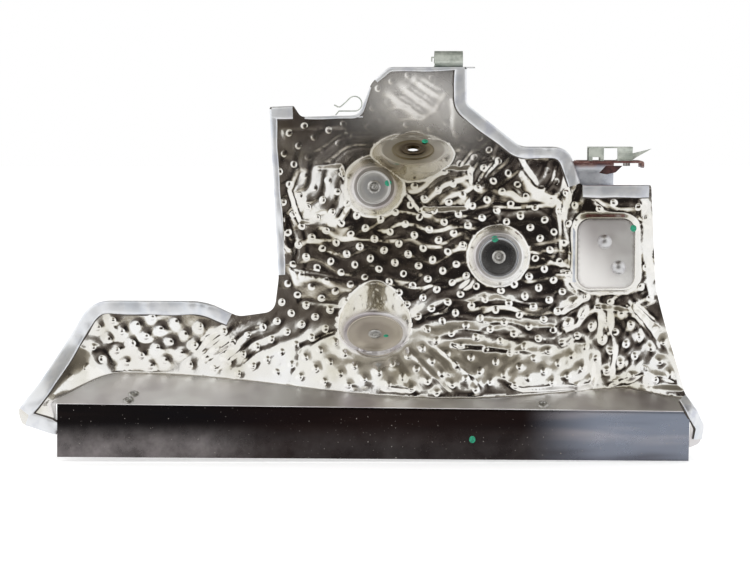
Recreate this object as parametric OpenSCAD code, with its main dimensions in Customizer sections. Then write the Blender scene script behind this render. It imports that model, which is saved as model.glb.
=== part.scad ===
// Heat shield for a turbocharger: a dimpled, hemmed sheet, a riveted skirt, a bolt eyelet and spring clips.
// Millimetres. +Z is up, the hot face looks along -Y, and the origin is the middle of the bolt eyelet.
// Forward means towards the viewer, along -Y. Heights and reaches are measured from the bolt eyelet.

/* [Panel outline] */
// Reach of the wing tip to the left of the bolt
wing_reach = 276; // [262:1:290]
// Drop from the bolt to the wing's top edge
wing_drop = 107; // [100:1:114]
// Reach of the upright left edge above the wing
neck_reach = 95; // [88:1:102]
// Height of the top left corner
corner_h = 30; // [24:1:36]
// Height of the upper lobe
lobe_h = 58; // [52:1:66]
// Reach of the lobe's left side
lobe_left = 29; // [25:1:33]
// Reach of the lobe's right side
lobe_right = 38; // [34:1:42]
// Reach of the shoulder beside the bracket
step_reach = 110; // [106:1:114]
// Drop from the bolt to the edge under the bracket
bracket_drop = 25; // [22:1:28]
// Reach of the panel's top right corner
side_reach = 169; // [164:1:176]
// Reach of the lower right ear
ear_reach = 204; // [199:1:210]

/* [Sheet] */
// Thickness of the sheet
sheet_t = 0.6; // [0.4:0.1:0.8]
// How far the hem is folded over the sheet's face
hem_w = 9.5; // [7:0.5:11]
// Clearance under the hem
hem_gap = 1; // [0.8:0.1:1.2]
// How far the flat wall lies behind the bolt eyelet
wall_back = 14; // [12:1:16]

/* [Embossing] */
// Distance between dimples along a row
dimple_pitch = 17.4; // [16:0.2:20]
// Distance between rows
row_gap = 6.95; // [6.6:0.05:8]
// Slope of the rows, in degrees, down to the right
row_slope = 10.2; // [6:0.2:14]
// Height of a dimple
dimple_h = 1.6; // [0.8:0.1:2.2]

/* [Bosses] */
// Radius of the dark disc on boss A
disc_a_r = 11.9; // [9:0.1:14]
// Radius of the dark disc on boss B
disc_b_r = 14.3; // [11:0.1:16]
// Radius of the disc on boss C
disc_c_r = 19.6; // [16:0.1:21]
// Radius of the ring under the bolt eyelet
disc_d_r = 14.9; // [12:0.1:17]
// Thickness of those discs
disc_t = 0.8; // [0.6:0.1:1.4]
// Width of bare sheet left around a disc
boss_land = 2.2; // [1.6:0.1:3]

/* [Fasteners] */
// Diameter of the bolt hole
bolt_hole_d = 9; // [8.4:0.1:10]
// Wall of the eyelet's barrel
eyelet_wall = 0.8; // [0.6:0.1:1.2]
// Diameter of the eyelet's front flange
eyelet_flange_d = 17; // [15:0.5:20]
// Diameter of a blind rivet's shank
rivet_d = 4.8; // [4:0.1:5]
// Diameter of a boss rivet's head
rivet_head_d = 9.5; // [8:0.5:10]
// Diameter of a skirt rivet's head
skirt_head_d = 8; // [7:0.1:8.2]
// Radius of the domes in the corner pad
dome_r = 5.2; // [4.4:0.1:6]
// Clearance around shanks and barrels
hole_gap = 0.2; // [0.1:0.05:0.4]

/* [Skirt] */
// How far the skirt's left end lies inside the wing tip
skirt_inset_left = 28.1; // [24:0.1:34]
// How far the skirt's right end lies inside the ear
skirt_inset_right = 11.4; // [9:0.1:16]
// Depth of the skirt at its left end
skirt_h_left = 37.3; // [32:0.1:42]
// Depth of the skirt at its right end
skirt_h_right = 34.5; // [30:0.1:40]
// Thickness of the skirt
skirt_t = 1; // [0.8:0.1:1.5]
// Length of the skirt's upper leg, under the ledge
skirt_leg = 17; // [14:0.5:19]
// Tilt of the ledge and the upper leg up from the viewer, in degrees
ledge_tilt = 65; // [60:1:68]
// How far the skirt's face lies in front of the bolt eyelet
skirt_forward = 24; // [22:1:26]

/* [Clips and bracket] */
// Width of the side and top clips
clip_w = 20; // [16:1:24]
// Inner radius of the clips' loops
clip_loop_r = 4.8; // [4.4:0.1:5.2]
// Thickness of the clips' strip
clip_t = 0.8; // [0.6:0.1:1]
// Thickness of the pipe bracket
bracket_t = 1.5; // [1.2:0.1:2]
// Width of the bracket's upright
bracket_w = 29; // [26:1:30]
// Length of the bracket's rusty leaf
leaf_l = 46; // [42:1:50]

/* [Hidden] */
$fn = 32;
far = 120;

// The skirt's top corner at its left end, and its slope down to the right
skirt_x = -(wing_reach - skirt_inset_left);
skirt_z = -175.9;
skirt_slope = 0.73;
skirt_l = (ear_reach - skirt_inset_right - skirt_x)/cos(skirt_slope);
flap_slope = 0.35;
ledge_lift = sheet_t/cos(ledge_tilt);

// Each boss: middle x, middle z, how far forward, tilt up from the viewer, flat radius,
// and the slope of its wall, first above it and then at its sides and below
BOSS_A = [-27.3, -26.1, -5, 0, disc_a_r + boss_land, 1.3, 1.3];
BOSS_B = [60.8, -75.4, -6, 0, disc_b_r + boss_land, 2.6, 2.6];
BOSS_C = [-26.6, -128, 8, -44, disc_c_r + boss_land, 1.9, 4];
BOSS_D = [0, 0, 0, 65, disc_d_r + 3*boss_land, 2.9, 2.9];

// The corner pad: middle, half sizes, corner radius and how far forward
PAD = [137.1, -73.7, 20.5, 25, 9];
pad_forward = -11;

// How far the pressed wall wanders from flat, and the height where it swells the most
waviness = 0.5;
low_z = skirt_z - 2.1;

// The pressed folds: start, end, height and half width
FOLDS = [
    [[1, 50], [20, 38], 4, 5], [[-7, 45], [16, 29], 4, 5], [[-16, 40], [9, 23], 4, 5],
    [[80, -17], [103, -38], 3.5, 5], [[93, -16], [107, -35], 3.5, 5], [[54, -39], [103, -39], -3.5, 5],
    [[-4, -121], [26, -108], 3.5, 5], [[26, -108], [103, -110], 3.5, 5], [[103, -110], [124, -100], 3.5, 5],
    [[2, -134], [40, -126], 3, 5], [[40, -126], [100, -126], 3, 5], [[100, -126], [131, -108], 3, 5],
    [[-127, -131], [-146, -143], 4, 5], [[-116, -136], [-139, -152], 4, 5],
    [[-80, -30], [-40, -62], 2.5, 6], [[10, -40], [45, -62], 3, 6], [[150, -105], [172, -150], 3, 6]
];

// The sheet's ends reach down beside the skirt's two ends
flap_x = skirt_x - 1;
ear_x = skirt_x + skirt_l*cos(skirt_slope) + 1;

// The outline's corners, clockwise from the lower left: x, z and corner radius
TIP = [-wing_reach, skirt_z - 5.1];
OUTLINE = [
    [flap_x, skirt_z - 22.6, 1], [TIP[0] + 3, TIP[1] - 9.5, 5], [TIP[0], TIP[1], 5],
    [TIP[0] + 14, skirt_z + 12.4, 30],
    [TIP[0] + 48, -wing_drop, 24], [-147, -wing_drop - 0.5, 50], [-124, -wing_drop - 11.5, 16],
    [-neck_reach - 3, -wing_drop - 8, 10], [-neck_reach, -wing_drop + 16, 24],
    [-neck_reach - 6, corner_h, 1.5], [-neck_reach + 11, corner_h + 0.7, 1.5],
    [-neck_reach + 16, corner_h - 7, 5], [-lobe_left - 9, corner_h - 6, 8],
    [-lobe_left, lobe_h - 11, 14], [-lobe_left + 12, lobe_h, 9],
    [lobe_right, lobe_h, 1.5], [lobe_right, 32, 8], [step_reach - 34, 2, 14],
    [step_reach, 2, 16], [step_reach + 9, -bracket_drop, 2], [side_reach, -bracket_drop, 2],
    [side_reach + 4, -99, 50], [ear_reach - 13, skirt_z + 5.9, 20],
    [ear_reach, skirt_z - 16.6, 10],
    [ear_reach - 1.5, skirt_z - 30.1, 5], [ear_x, skirt_z - 32.1, 1],
    [ear_x, skirt_edge_z(ear_x), 0.5], [flap_x, skirt_edge_z(flap_x), 0.5]
];

// Which corners each hem runs between, and how wide it is there
HEMS = [[0, 1, hem_w], [2, 6, hem_w], [9, 10, hem_w - 3],
    [15, 19, hem_w - 1], [19, 20, hem_w - 1], [22, 24, hem_w - 3]];
hem_step = 6;
hem_stray = 0.3;
hem_web = 0.9;

// The lattice of mesh points: three to a dimple, along a row and from row to row
row_x = [cos(row_slope), -sin(row_slope)];
row_z = [sin(row_slope), cos(row_slope)];
stagger = 0.535*dimple_pitch;
step_u = row_x*dimple_pitch/3;
step_w = row_x*(stagger - dimple_pitch*2/3) + row_z*row_gap;
dimple_anchor = [-186, -154.6];

function sum(v, i = 0) = i >= len(v) ? 0 : v[i] + sum(v, i + 1);
function clamp(v, lo, hi) = min(hi, max(lo, v));
function ease(from, to, v) = let (t = clamp((v - from)/(to - from), 0, 1)) t*t*(3 - 2*t);
function unit(v) = v/norm(v);
function bump(x, z, cx, cz, rx, rz) = exp(-pow((x - cx)/rx, 2) - pow((z - cz)/rz, 2));
function to_segment(p, a, b) =
    let (t = clamp((p - a)*(b - a)/((b - a)*(b - a)), 0, 1)) norm(p - a - t*(b - a));

// Height of a point above the skirt's top edge, measured square to that edge
function above_skirt(x, z) = (x - skirt_x)*sin(skirt_slope) + (z - skirt_z)*cos(skirt_slope);
function skirt_edge_z(x) = skirt_z + 0.6 - (x - skirt_x)*tan(skirt_slope);

// How far forward the sheet's face lies, first without the bosses
function fold_height(x, z) =
    sum([for (k = FOLDS) let (d = to_segment([x, z], k[0], k[1])/k[3]) d > 3 ? 0 : k[2]*exp(-d*d)]);
function wall(x, z) = -wall_back + waviness*sin(5*x + 3*z)*cos(4*z - x)
    + 27*bump(x, z, 20, low_z, 140, 42)
    + 34*ease(TIP[0] + 71, TIP[0] + 20, x)*ease(low_z + 48, low_z, z)
    + 17*ease(ear_reach - 64, ear_reach - 9, x)*ease(low_z + 68, low_z, z)
    + fold_height(x, z);
function ledge(x, z) = let (up = above_skirt(x, z))
    skirt_forward + ledge_lift - (up > 0 ? tan(ledge_tilt) : -flap_slope)*up
        - max(0, flap_x - x, x - ear_x);
function with_ledge(x, z) = max(wall(x, z), ledge(x, z));

// A boss holds the sheet on its tilted disc, and lets it leave by no more than the wall's slope
function with_boss(f, x, z, b) =
    let (dx = x - b[0], dz = z - b[1], rho = norm([dx, dz/cos(b[3])]), inner = rho <= b[4],
        out = inner ? 0 : norm([dx, dz])*(1 - b[4]/rho),
        steep = b[6] + (b[5] - b[6])*pow(max(0, dz)/max(norm([dx, dz]), 0.01), 2),
        held = b[2] - tan(b[3])*(inner ? dz : dz*b[4]/rho))
    clamp(f, held - steep*out, held + steep*out);
function to_pad(x, z) =
    let (q = [abs(x - PAD[0]) - PAD[2] + PAD[4], abs(z - PAD[1]) - PAD[3] + PAD[4]])
    norm([max(q[0], 0), max(q[1], 0)]) + min(max(q[0], q[1]), 0) - PAD[4];
function with_pad(f, x, z) =
    let (out = max(0, to_pad(x, z))) clamp(f, pad_forward - 1.2*out, pad_forward + 1.2*out);
function forward(x, z) =
    let (a = with_boss(with_ledge(x, z), x, z, BOSS_A), b = with_boss(a, x, z, BOSS_B),
        c = with_boss(b, x, z, BOSS_C), d = with_boss(c, x, z, BOSS_D))
    with_pad(d, x, z);

function normal_at(x, z, e = 0.25) =
    unit([forward(x - e, z) - forward(x + e, z), -2*e, forward(x, z - e) - forward(x, z + e)]);
function on_sheet(x, z, lift) = [x, -forward(x, z), z] + lift*normal_at(x, z, 4);

// The mesh is drawn towards each boss's edge, so that the edge is sharp
function crowd(p, b) =
    let (d = [p[0] - b[0], (p[1] - b[1])/cos(b[3])], rho = norm(d), band = 4.5/pow(cos(b[3]), 0.6),
        off = rho - b[4], near = abs(off) < band ? 0.15 + 0.85*pow(abs(off)/band, 2) : 1,
        k = rho < 1 ? 1 : (b[4] + off*near)/rho)
    [b[0] + d[0]*k, b[1] + d[1]*k*cos(b[3])];
function to_crease(p) = let (up = above_skirt(p[0], p[1])) abs(up) < step_w[1]/2 ? p - up*[0, 1] : p;
function mesh_point(i, j) = let (p = to_crease(dimple_anchor + i*step_u + j*step_w))
    crowd(crowd(crowd(crowd(p, BOSS_A), BOSS_B), BOSS_C), BOSS_D);

// The outline with its corners rounded, each point with the corner that it belongs to
function corner_arc(a, b, c, r) =
    let (n = r < 4 ? 1 : 3, u = unit(a - b), v = unit(c - b), half = acos(clamp(u*v, -1, 1))/2,
        reach = min(r/tan(half), 0.49*min(norm(a - b), norm(c - b))))
    [for (i = [0:n]) let (t = i/n) b + u*reach*pow(1 - t, 2) + v*reach*pow(t, 2)];
function xz(c) = [c[0], c[1]];
function corner_points(i) = let (n = len(OUTLINE))
    corner_arc(xz(OUTLINE[(i + n - 1) % n]), xz(OUTLINE[i]), xz(OUTLINE[(i + 1) % n]), OUTLINE[i][2]);
function outline() = [for (i = [0:len(OUTLINE) - 1]) each corner_points(i)];
function hem_path(run) = [for (i = [run[0]:run[1]]) let (arc = corner_points(i))
    for (k = [0:len(arc) - 1]) if ((i > run[0] || k == len(arc) - 1) && (i < run[1] || k == 0)) arc[k]];
function strays(a, b, t) = let (p = a + (b - a)*t)
    abs(forward(p[0], p[1]) - (1 - t)*forward(a[0], a[1]) - t*forward(b[0], b[1])) > hem_stray;
function halved(a, b) =
    norm(b - a) < hem_step || !(strays(a, b, 0.25) || strays(a, b, 0.5) || strays(a, b, 0.75))
    ? [a] : concat(halved(a, (a + b)/2), halved((a + b)/2, b));
function filled(path) =
    [for (i = [0:len(path) - 2]) each halved(path[i], path[i + 1]), path[len(path) - 1]];
function inward(path, i) =
    let (d = unit(path[min(i + 1, len(path) - 1)] - path[max(i - 1, 0)])) [d[1], -d[0]];

HEM_LINES = [for (h = HEMS) filled(hem_path(h))];
function near_hem(p) = min([for (h = [0:len(HEMS) - 1]) for (i = [0:len(HEM_LINES[h]) - 2])
    to_segment(p, HEM_LINES[h][i], HEM_LINES[h][i + 1]) - HEMS[h][2]]);
function clear_of_boss(p, b) = norm([p[0] - b[0], (p[1] - b[1])/cos(b[3])]) > b[4] + 6/cos(b[3]);
function is_dimple(i, j, p) = (i + j) % 3 == 0
    && clear_of_boss(p, BOSS_A) && clear_of_boss(p, BOSS_B) && clear_of_boss(p, BOSS_C)
    && clear_of_boss(p, BOSS_D) && to_pad(p[0], p[1]) > 5
    && wall(p[0], p[1]) > ledge(p[0], p[1]) + 6 && near_hem(p) > 3;

// The sheet before it is cut out, over a slanted block of the lattice
MESH_I = [-20, 72];
MESH_J = [-9, 38];
module pressed_block() {
    ni = MESH_I[1] - MESH_I[0];
    nj = MESH_J[1] - MESH_J[0];
    grid = [for (j = [MESH_J[0]:MESH_J[1]]) for (i = [MESH_I[0]:MESH_I[1]])
        let (p = mesh_point(i, j), n = normal_at(p[0], p[1]))
        [[p[0], -forward(p[0], p[1]), p[1]] + (is_dimple(i, j, p) ? dimple_h*n : [0, 0, 0]), n]];
    count = len(grid);
    points = [for (g = grid) g[0], for (g = grid) g[0] - sheet_t*g[1]];
    function at(i, j, side) = side*count + j*(ni + 1) + i;
    faces = [
        for (j = [0:nj - 1]) for (i = [0:ni - 1]) each [
            [at(i, j, 0), at(i, j + 1, 0), at(i + 1, j + 1, 0)],
            [at(i, j, 0), at(i + 1, j + 1, 0), at(i + 1, j, 0)],
            [at(i, j, 1), at(i + 1, j + 1, 1), at(i, j + 1, 1)],
            [at(i, j, 1), at(i + 1, j, 1), at(i + 1, j + 1, 1)]],
        for (i = [0:ni - 1]) each [
            [at(i, 0, 0), at(i + 1, 0, 0), at(i + 1, 0, 1), at(i, 0, 1)],
            [at(i, nj, 0), at(i, nj, 1), at(i + 1, nj, 1), at(i + 1, nj, 0)]],
        for (j = [0:nj - 1]) each [
            [at(0, j, 0), at(0, j, 1), at(0, j + 1, 1), at(0, j + 1, 0)],
            [at(ni, j, 0), at(ni, j + 1, 0), at(ni, j + 1, 1), at(ni, j, 1)]]];
    polyhedron(points, faces, convexity = 12);
}

module outline_block(inset) {
    rotate([90, 0, 0]) translate([0, 0, -far]) linear_extrude(2*far)
        offset(delta = -inset) polygon(outline());
}

// The folded edge: a hooked section swept along one stretch of the outline
module hem(line, w) {
    section = [[0, -1.5*sheet_t], [0, hem_gap + sheet_t], [w, hem_gap + sheet_t], [w, hem_gap],
        [hem_web, hem_gap], [hem_web, -1.5*sheet_t]];
    n = len(line);
    m = len(section);
    points = [for (i = [0:n - 1]) for (s = section)
        let (q = line[i] + s[0]*inward(line, i)) on_sheet(q[0], q[1], s[1])];
    faces = [
        [for (k = [0:m - 1]) k],
        for (i = [0:n - 2]) for (k = [0:m - 1])
            [i*m + k, (i + 1)*m + k, (i + 1)*m + (k + 1) % m, i*m + (k + 1) % m],
        [for (k = [m - 1:-1:0]) (n - 1)*m + k]];
    polyhedron(points, faces, convexity = 6);
}

// Places children with +Z along the sheet's outward normal, on a boss, on the pad or on the ledge
module on_boss(b) translate([b[0], -b[2], b[1]]) rotate([90 - b[3], 0, 0]) children();
module on_pad(x, z) translate([x, -pad_forward, z]) rotate([90, 0, 0]) children();
module on_ledge(along, up) translate([skirt_x, -skirt_forward, skirt_z]) rotate([0, skirt_slope, 0])
    translate([along, 0, 0]) rotate([90 - ledge_tilt, 0, 0]) translate([0, up, sheet_t]) children();

// Places along the skirt of its three rivets, and how far up the ledge each one is
skirt_rivet_1 = [52, 12.9];
skirt_rivet_2 = [49.3, 4.8];
skirt_rivet_3 = [338.7, 6.6];
pad_rivets = [[135.9, -65.1], [145.9, -83.5]];

// A clearance hole through the sheet
module clearance_hole(r) hull() {
    translate([0, 0, 3]) cylinder(r = r, h = 0.1, $fn = 8);
    translate([0, 0, -sheet_t - 3]) cylinder(r = r, h = 0.1, $fn = 8);
}
module rivet_holes() {
    shank_r = rivet_d/2 + hole_gap;
    for (b = [BOSS_A, BOSS_B, BOSS_C]) on_boss(b) clearance_hole(shank_r);
    on_boss(BOSS_D) clearance_hole(bolt_hole_d/2 + eyelet_wall + hole_gap);
    for (p = pad_rivets) on_pad(p[0], p[1]) clearance_hole(shank_r);
    for (p = [skirt_rivet_1, skirt_rivet_2, skirt_rivet_3]) on_ledge(p[0], p[1]) clearance_hole(shank_r);
}

// The flat seats that the discs are pressed into
module disc_seats()
    for (k = [[BOSS_A, disc_a_r], [BOSS_B, disc_b_r], [BOSS_C, disc_c_r], [BOSS_D, disc_d_r]])
    on_boss(k[0]) cylinder(r = k[1] + hole_gap, h = 4);

// The top and side flanges that the clips stand on, bent back from the sheet's edge
flange_t = 1;
flange_depth = 17;
side_flange_x = -58;
top_flange_x = 14.5;
top_flange_l = 29.5;
side_flange_z = corner_h - 7.4;
top_flange_z = lobe_h - 0.9;
module flanges() {
    front_y = wall_back - 1;
    translate([top_flange_x, front_y, top_flange_z]) cube([top_flange_l, flange_depth, flange_t]);
    translate([side_flange_x, wall_back + sheet_t/2, side_flange_z])
        cube([clip_w + 3, flange_depth, flange_t]);
}

module shield_sheet() color([0.80, 0.79, 0.75]) {
    difference() {
        intersection() {
            pressed_block();
            outline_block(hem_web/2);
        }
        rivet_holes();
        disc_seats();
    }
    for (h = [0:len(HEMS) - 1]) hem(HEM_LINES[h], HEMS[h][2]);
    flanges();
}

// The skirt: a face and an upper leg that meet at a rounded bend, trimmed to its taper below
bend_r = 2;
module skirt_profile() {
    turn = 90 - ledge_tilt;
    reach = bend_r*tan((90 - turn)/2);
    up = [cos(turn), sin(turn)];
    arc_mid = [bend_r, -reach];
    outer = [for (k = [0:4]) let (a = 180 - k*(90 - turn)/4) arc_mid + bend_r*[cos(a), sin(a)]];
    inner = [for (k = [4:-1:0]) let (a = 180 - k*(90 - turn)/4)
        arc_mid + (bend_r - skirt_t)*[cos(a), sin(a)]];
    down = [-sin(turn), cos(turn)]*skirt_t;
    polygon(concat([[0, -skirt_h_left]], outer, [up*skirt_leg, up*skirt_leg - down], inner,
        [[skirt_t, -skirt_h_left]]));
}
module skirt_angle() color([0.20, 0.18, 0.18])
    translate([skirt_x, -skirt_forward, skirt_z]) rotate([0, skirt_slope, 0]) difference() {
        rotate([90, 0, 90]) linear_extrude(skirt_l) skirt_profile();
        rivet_bores();
        taper_cut();
    }
module rivet_bores()
    for (p = [skirt_rivet_1, skirt_rivet_2, skirt_rivet_3])
        translate([p[0], 0, 0]) rotate([90 - ledge_tilt, 0, 0])
            translate([0, p[1], -5]) cylinder(r = rivet_d/2 + hole_gap, h = 10);
module taper_cut() rotate([90, 0, 0]) translate([0, 0, -far]) linear_extrude(2*far)
    polygon([[-1, -skirt_h_left], [skirt_l + 1, -skirt_h_right], [skirt_l + 1, -far], [-1, -far]]);

// A blind rivet: a flat head with a hollow core, a shank through the stack and a bulbed tail
module blind_rivet(seat, stack, head_d) {
    r = rivet_d/2;
    head_r = head_d/2;
    core_r = 0.44*rivet_d;
    rotate_extrude() polygon([[0, seat + 0.2], [core_r, seat + 0.2], [core_r, seat + 1.1],
        [head_r - 0.7, seat + 1.1], [head_r, seat + 0.4], [head_r, seat], [r, seat], [r, -stack],
        [r + 1, -stack - 0.6], [r + 1, -stack - 2.4], [r - 0.4, -stack - 3.4], [0, -stack - 3.4]]);
}
module boss_rivet(b) color([0.62, 0.61, 0.60]) on_boss(b)
    blind_rivet(disc_t, sheet_t, rivet_head_d);
module boss_rivet_a() boss_rivet(BOSS_A);
module boss_rivet_b() boss_rivet(BOSS_B);
module boss_rivet_c() boss_rivet(BOSS_C);
module skirt_rivet(p) color([0.45, 0.46, 0.46]) on_ledge(p[0], p[1])
    blind_rivet(0, sheet_t + skirt_t, skirt_head_d);
module skirt_rivet_left() skirt_rivet(skirt_rivet_1);
module skirt_rivet_left_lower() skirt_rivet(skirt_rivet_2);
module skirt_rivet_right() skirt_rivet(skirt_rivet_3);

// The dark discs: dished very slightly, with a rolled rim
module boss_disc(r, hole_r) rotate_extrude()
    polygon([[hole_r, 0], [r, 0], [r, disc_t*0.5], [r - 0.5, disc_t], [hole_r, disc_t]]);
module boss_washer_a() color([0.36, 0.35, 0.33]) on_boss(BOSS_A) boss_disc(disc_a_r, rivet_d/2 + hole_gap);
module boss_washer_b() color([0.16, 0.15, 0.15]) on_boss(BOSS_B) boss_disc(disc_b_r, rivet_d/2 + hole_gap);
module boss_washer_c() color([0.48, 0.44, 0.40]) on_boss(BOSS_C) boss_disc(disc_c_r, rivet_d/2 + hole_gap);
module eyelet_washer() color([0.42, 0.39, 0.35])
    on_boss(BOSS_D) boss_disc(disc_d_r, bolt_hole_d/2 + eyelet_wall + hole_gap);

// The eyelet: a barrel with a front flange on the washer and a rolled back flange
module bolt_eyelet() color([0.50, 0.47, 0.43]) on_boss(BOSS_D) {
    hole_r = bolt_hole_d/2;
    barrel_r = hole_r + eyelet_wall;
    flange_r = eyelet_flange_d/2;
    rotate_extrude() polygon([[hole_r, -sheet_t - 0.8], [flange_r - 1, -sheet_t - 0.8],
        [flange_r - 1, -sheet_t], [barrel_r, -sheet_t], [barrel_r, disc_t], [flange_r, disc_t],
        [flange_r, disc_t + 0.5],
        [flange_r - 0.6, disc_t + 0.9], [hole_r, disc_t + 0.9]]);
}

// The pad's dome rivets, which carry the bracket's leg behind the sheet
module dome_rivet(p) color([0.72, 0.72, 0.71]) on_pad(p[0], p[1]) {
    r = rivet_d/2;
    rotate_extrude() polygon(concat([[0, -sheet_t - bracket_t - 1.5], [r + 1, -sheet_t - bracket_t - 1.5],
        [r + 1, -sheet_t - bracket_t], [r, -sheet_t - bracket_t], [r, 0]],
        [for (a = [0:15:90]) [dome_r*cos(a), 3.4*sin(a)]]));
}
module pad_rivet_upper() dome_rivet(pad_rivets[0]);
module pad_rivet_lower() dome_rivet(pad_rivets[1]);

// The bracket: a leg behind the pad, a joggle, an upright above the edge and a leaf bent forward
leg_y = -pad_forward + sheet_t;
upright_y = wall_back + sheet_t + 2;
leaf_z = -7.5;
bracket_x = 113.5;
leaf_forward = 5;
bracket_bend = 9;
module bracket_section() {
    t = bracket_t;
    bend = [upright_y + t - bracket_bend, leaf_z - bracket_bend];
    outer = [for (a = [0:15:90]) bend + bracket_bend*[cos(a), sin(a)]];
    inner = [for (a = [90:-15:0]) bend + (bracket_bend - t)*[cos(a), sin(a)]];
    polygon(concat([[leg_y, -94], [leg_y + t, -94], [leg_y + t, -58], [upright_y + t, -50]], outer,
        [[-leaf_forward, leaf_z], [-leaf_forward, leaf_z - t]], inner, [[upright_y, -49.5], [leg_y, -57.5]]));
}
module pipe_bracket() color([0.55, 0.45, 0.43]) difference() {
    union() {
        translate([bracket_x, 0, 0]) rotate([90, 0, 90]) linear_extrude(bracket_w) bracket_section();
        leaf_and_lip();
    }
    upright_round();
    for (p = pad_rivets) on_pad(p[0], p[1]) translate([0, 0, -20]) cylinder(r = rivet_d/2 + hole_gap, h = 20);
    translate([clip_rivet_x, 4, leaf_z - 9]) cylinder(r = clip_rivet_r + hole_gap, h = 20);
}
module leaf_and_lip() {
    from_y = -leaf_forward;
    depth = upright_y + bracket_t - bracket_bend + leaf_forward;
    translate([bracket_x + 2, from_y, leaf_z - bracket_t]) cube([leaf_l, depth, bracket_t]);
    translate([bracket_x + 2 + leaf_l - bracket_t, from_y, leaf_z - 5]) cube([bracket_t, depth, 5]);
}
// Takes the upright's upper left corner to a round and clears the leg's sides inside the pad
module upright_round() {
    translate([bracket_x - 1, 8, -96]) cube([9, 14, 44]);
    translate([bracket_x - 1, 14, leaf_z - 30]) rotate([-90, 0, 0]) difference() {
        cube([7, 7, 20]);
        translate([7, 0, -1]) cylinder(r = 6, h = 22);
    }
}

// The clip on the leaf: a raised bridge on two pairs of legs, with a thin arm to the right
clip3_x = 122.8;
clip3_l = 30.7;
clip3_h = 9.7;
clip3_leg = 10.5;
clip3_y = [-3.5, 9];
clip_rivet_x = 150;
clip_rivet_r = 1.6;
module bracket_clip() color([0.52, 0.55, 0.51]) difference() {
    union() {
        translate([clip3_x, clip3_y[0], leaf_z]) clip_face(clip3_leg);
        translate([clip3_x, clip3_y[1] - clip_t, leaf_z]) clip_face(clip3_leg);
        translate([clip3_x, clip3_y[0], leaf_z + clip3_h - clip_t])
            cube([clip3_l, clip3_y[1] - clip3_y[0], clip_t]);
        saddle_leg();
        translate([clip3_x + clip3_l - clip3_leg, clip3_y[0], leaf_z])
            cube([clip3_leg, clip3_y[1] - clip3_y[0], clip_t]);
        arm();
    }
    translate([clip_rivet_x, 4, leaf_z - 1]) cylinder(r = clip_rivet_r + hole_gap, h = 4);
}
module clip_face(w) difference() {
    cube([w, clip_t, clip3_h]);
    translate([2.6, -1, -1]) cube([w - 5, clip_t + 2, 3.6]);
}
// The right leg bows inwards, like a saddle
module saddle_leg() translate([clip3_x + clip3_l - clip3_leg, 0, leaf_z]) rotate([90, 0, 90])
    linear_extrude(clip3_leg) difference() {
        translate([clip3_y[0], 0]) square([3, clip3_h]);
        translate([clip3_y[0] - 6.2, clip3_h/2]) circle(r = 7.4);
        translate([clip3_y[0] + 3, -1]) square([1, clip3_h + 2]);
    }
module arm() translate([clip3_x + clip3_l - 0.5, clip3_y[0] + 4, leaf_z]) rotate([90, 0, 0])
    linear_extrude(clip_t) polygon([[0, 0], [3, 2.2], [14, 8.4], [4, 6], [0, 5]]);
module bracket_clip_rivet() color([0.25, 0.20, 0.20]) translate([clip_rivet_x, 4, leaf_z]) rotate_extrude()
    polygon([[0, -bracket_t - 2.2], [clip_rivet_r + 0.8, -bracket_t - 2.2], [clip_rivet_r + 0.8, -bracket_t],
        [clip_rivet_r, -bracket_t], [clip_rivet_r, clip_t], [clip_rivet_r + 1.2, clip_t],
        [clip_rivet_r + 0.6, clip_t + 1], [0, clip_t + 1]]);

// A spring clip in the XZ plane: a base leg, a loop at its right end and a pinched upper leg with a flared lip
module clip_section(lip) {
    r = clip_loop_r + clip_t/2;
    loop = [for (a = [-90:15:135]) r*[cos(a), sin(a)]];
    line = concat([[-13.5, -r - lip], [-11, -r]], loop, [[-9.5, -1.8], [-11.4, -2.6], [-14.5, -1.2]]);
    n = len(line);
    side = [for (i = [0:n - 1])
        let (d = unit(line[min(i + 1, n - 1)] - line[max(i - 1, 0)])) [d[1], -d[0]]*clip_t/2];
    polygon(concat([for (i = [0:n - 1]) line[i] + side[i]], [for (i = [n - 1:-1:0]) line[i] - side[i]]));
}
side_clip_at = [-41.1, wall_back + 2];
module side_clip() color([0.60, 0.60, 0.58]) {
    lip = 2.4;
    z = side_flange_z + flange_t + clip_loop_r + clip_t + lip;
    translate([side_clip_at[0], side_clip_at[1] + clip_w - 5, z]) rotate([90, 0, 0])
        linear_extrude(clip_w - 5) clip_section(lip);
}
top_clip_x = 15.3;
module top_clip() color([0.66, 0.68, 0.65]) {
    z = top_flange_z + flange_t + clip_loop_r + clip_t;
    translate([top_clip_x, wall_back - 1 + clip_loop_r, z]) rotate([90, 0, -90]) mirror([0, 0, 1])
        linear_extrude(clip_w) clip_section(0);
    translate([top_clip_x - 2.4, wall_back - 1, z + 0.5]) cube([3, 1.2, 1]);
    translate([top_clip_x - 2.4, wall_back - 1, z - 2]) cube([0.9, 1.2, 3]);
}

shield_sheet();
skirt_angle();
skirt_rivet_left();
skirt_rivet_left_lower();
skirt_rivet_right();
boss_washer_a();
boss_washer_b();
boss_washer_c();
boss_rivet_a();
boss_rivet_b();
boss_rivet_c();
eyelet_washer();
bolt_eyelet();
pad_rivet_upper();
pad_rivet_lower();
pipe_bracket();
bracket_clip();
bracket_clip_rivet();
side_clip();
top_clip();
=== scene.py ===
# Looks of a turbocharger heat shield: a dimpled, hemmed stainless sheet with a dark skirt, bosses and spring clips.
# Lengths are millimetres in the part's frame (+Z up, the hot face looks along -Y) until a mesh is made in metres.
import math

import bpy
import numpy as np
from mathutils import Matrix, Vector
from mathutils.geometry import delaunay_2d_cdt


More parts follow.
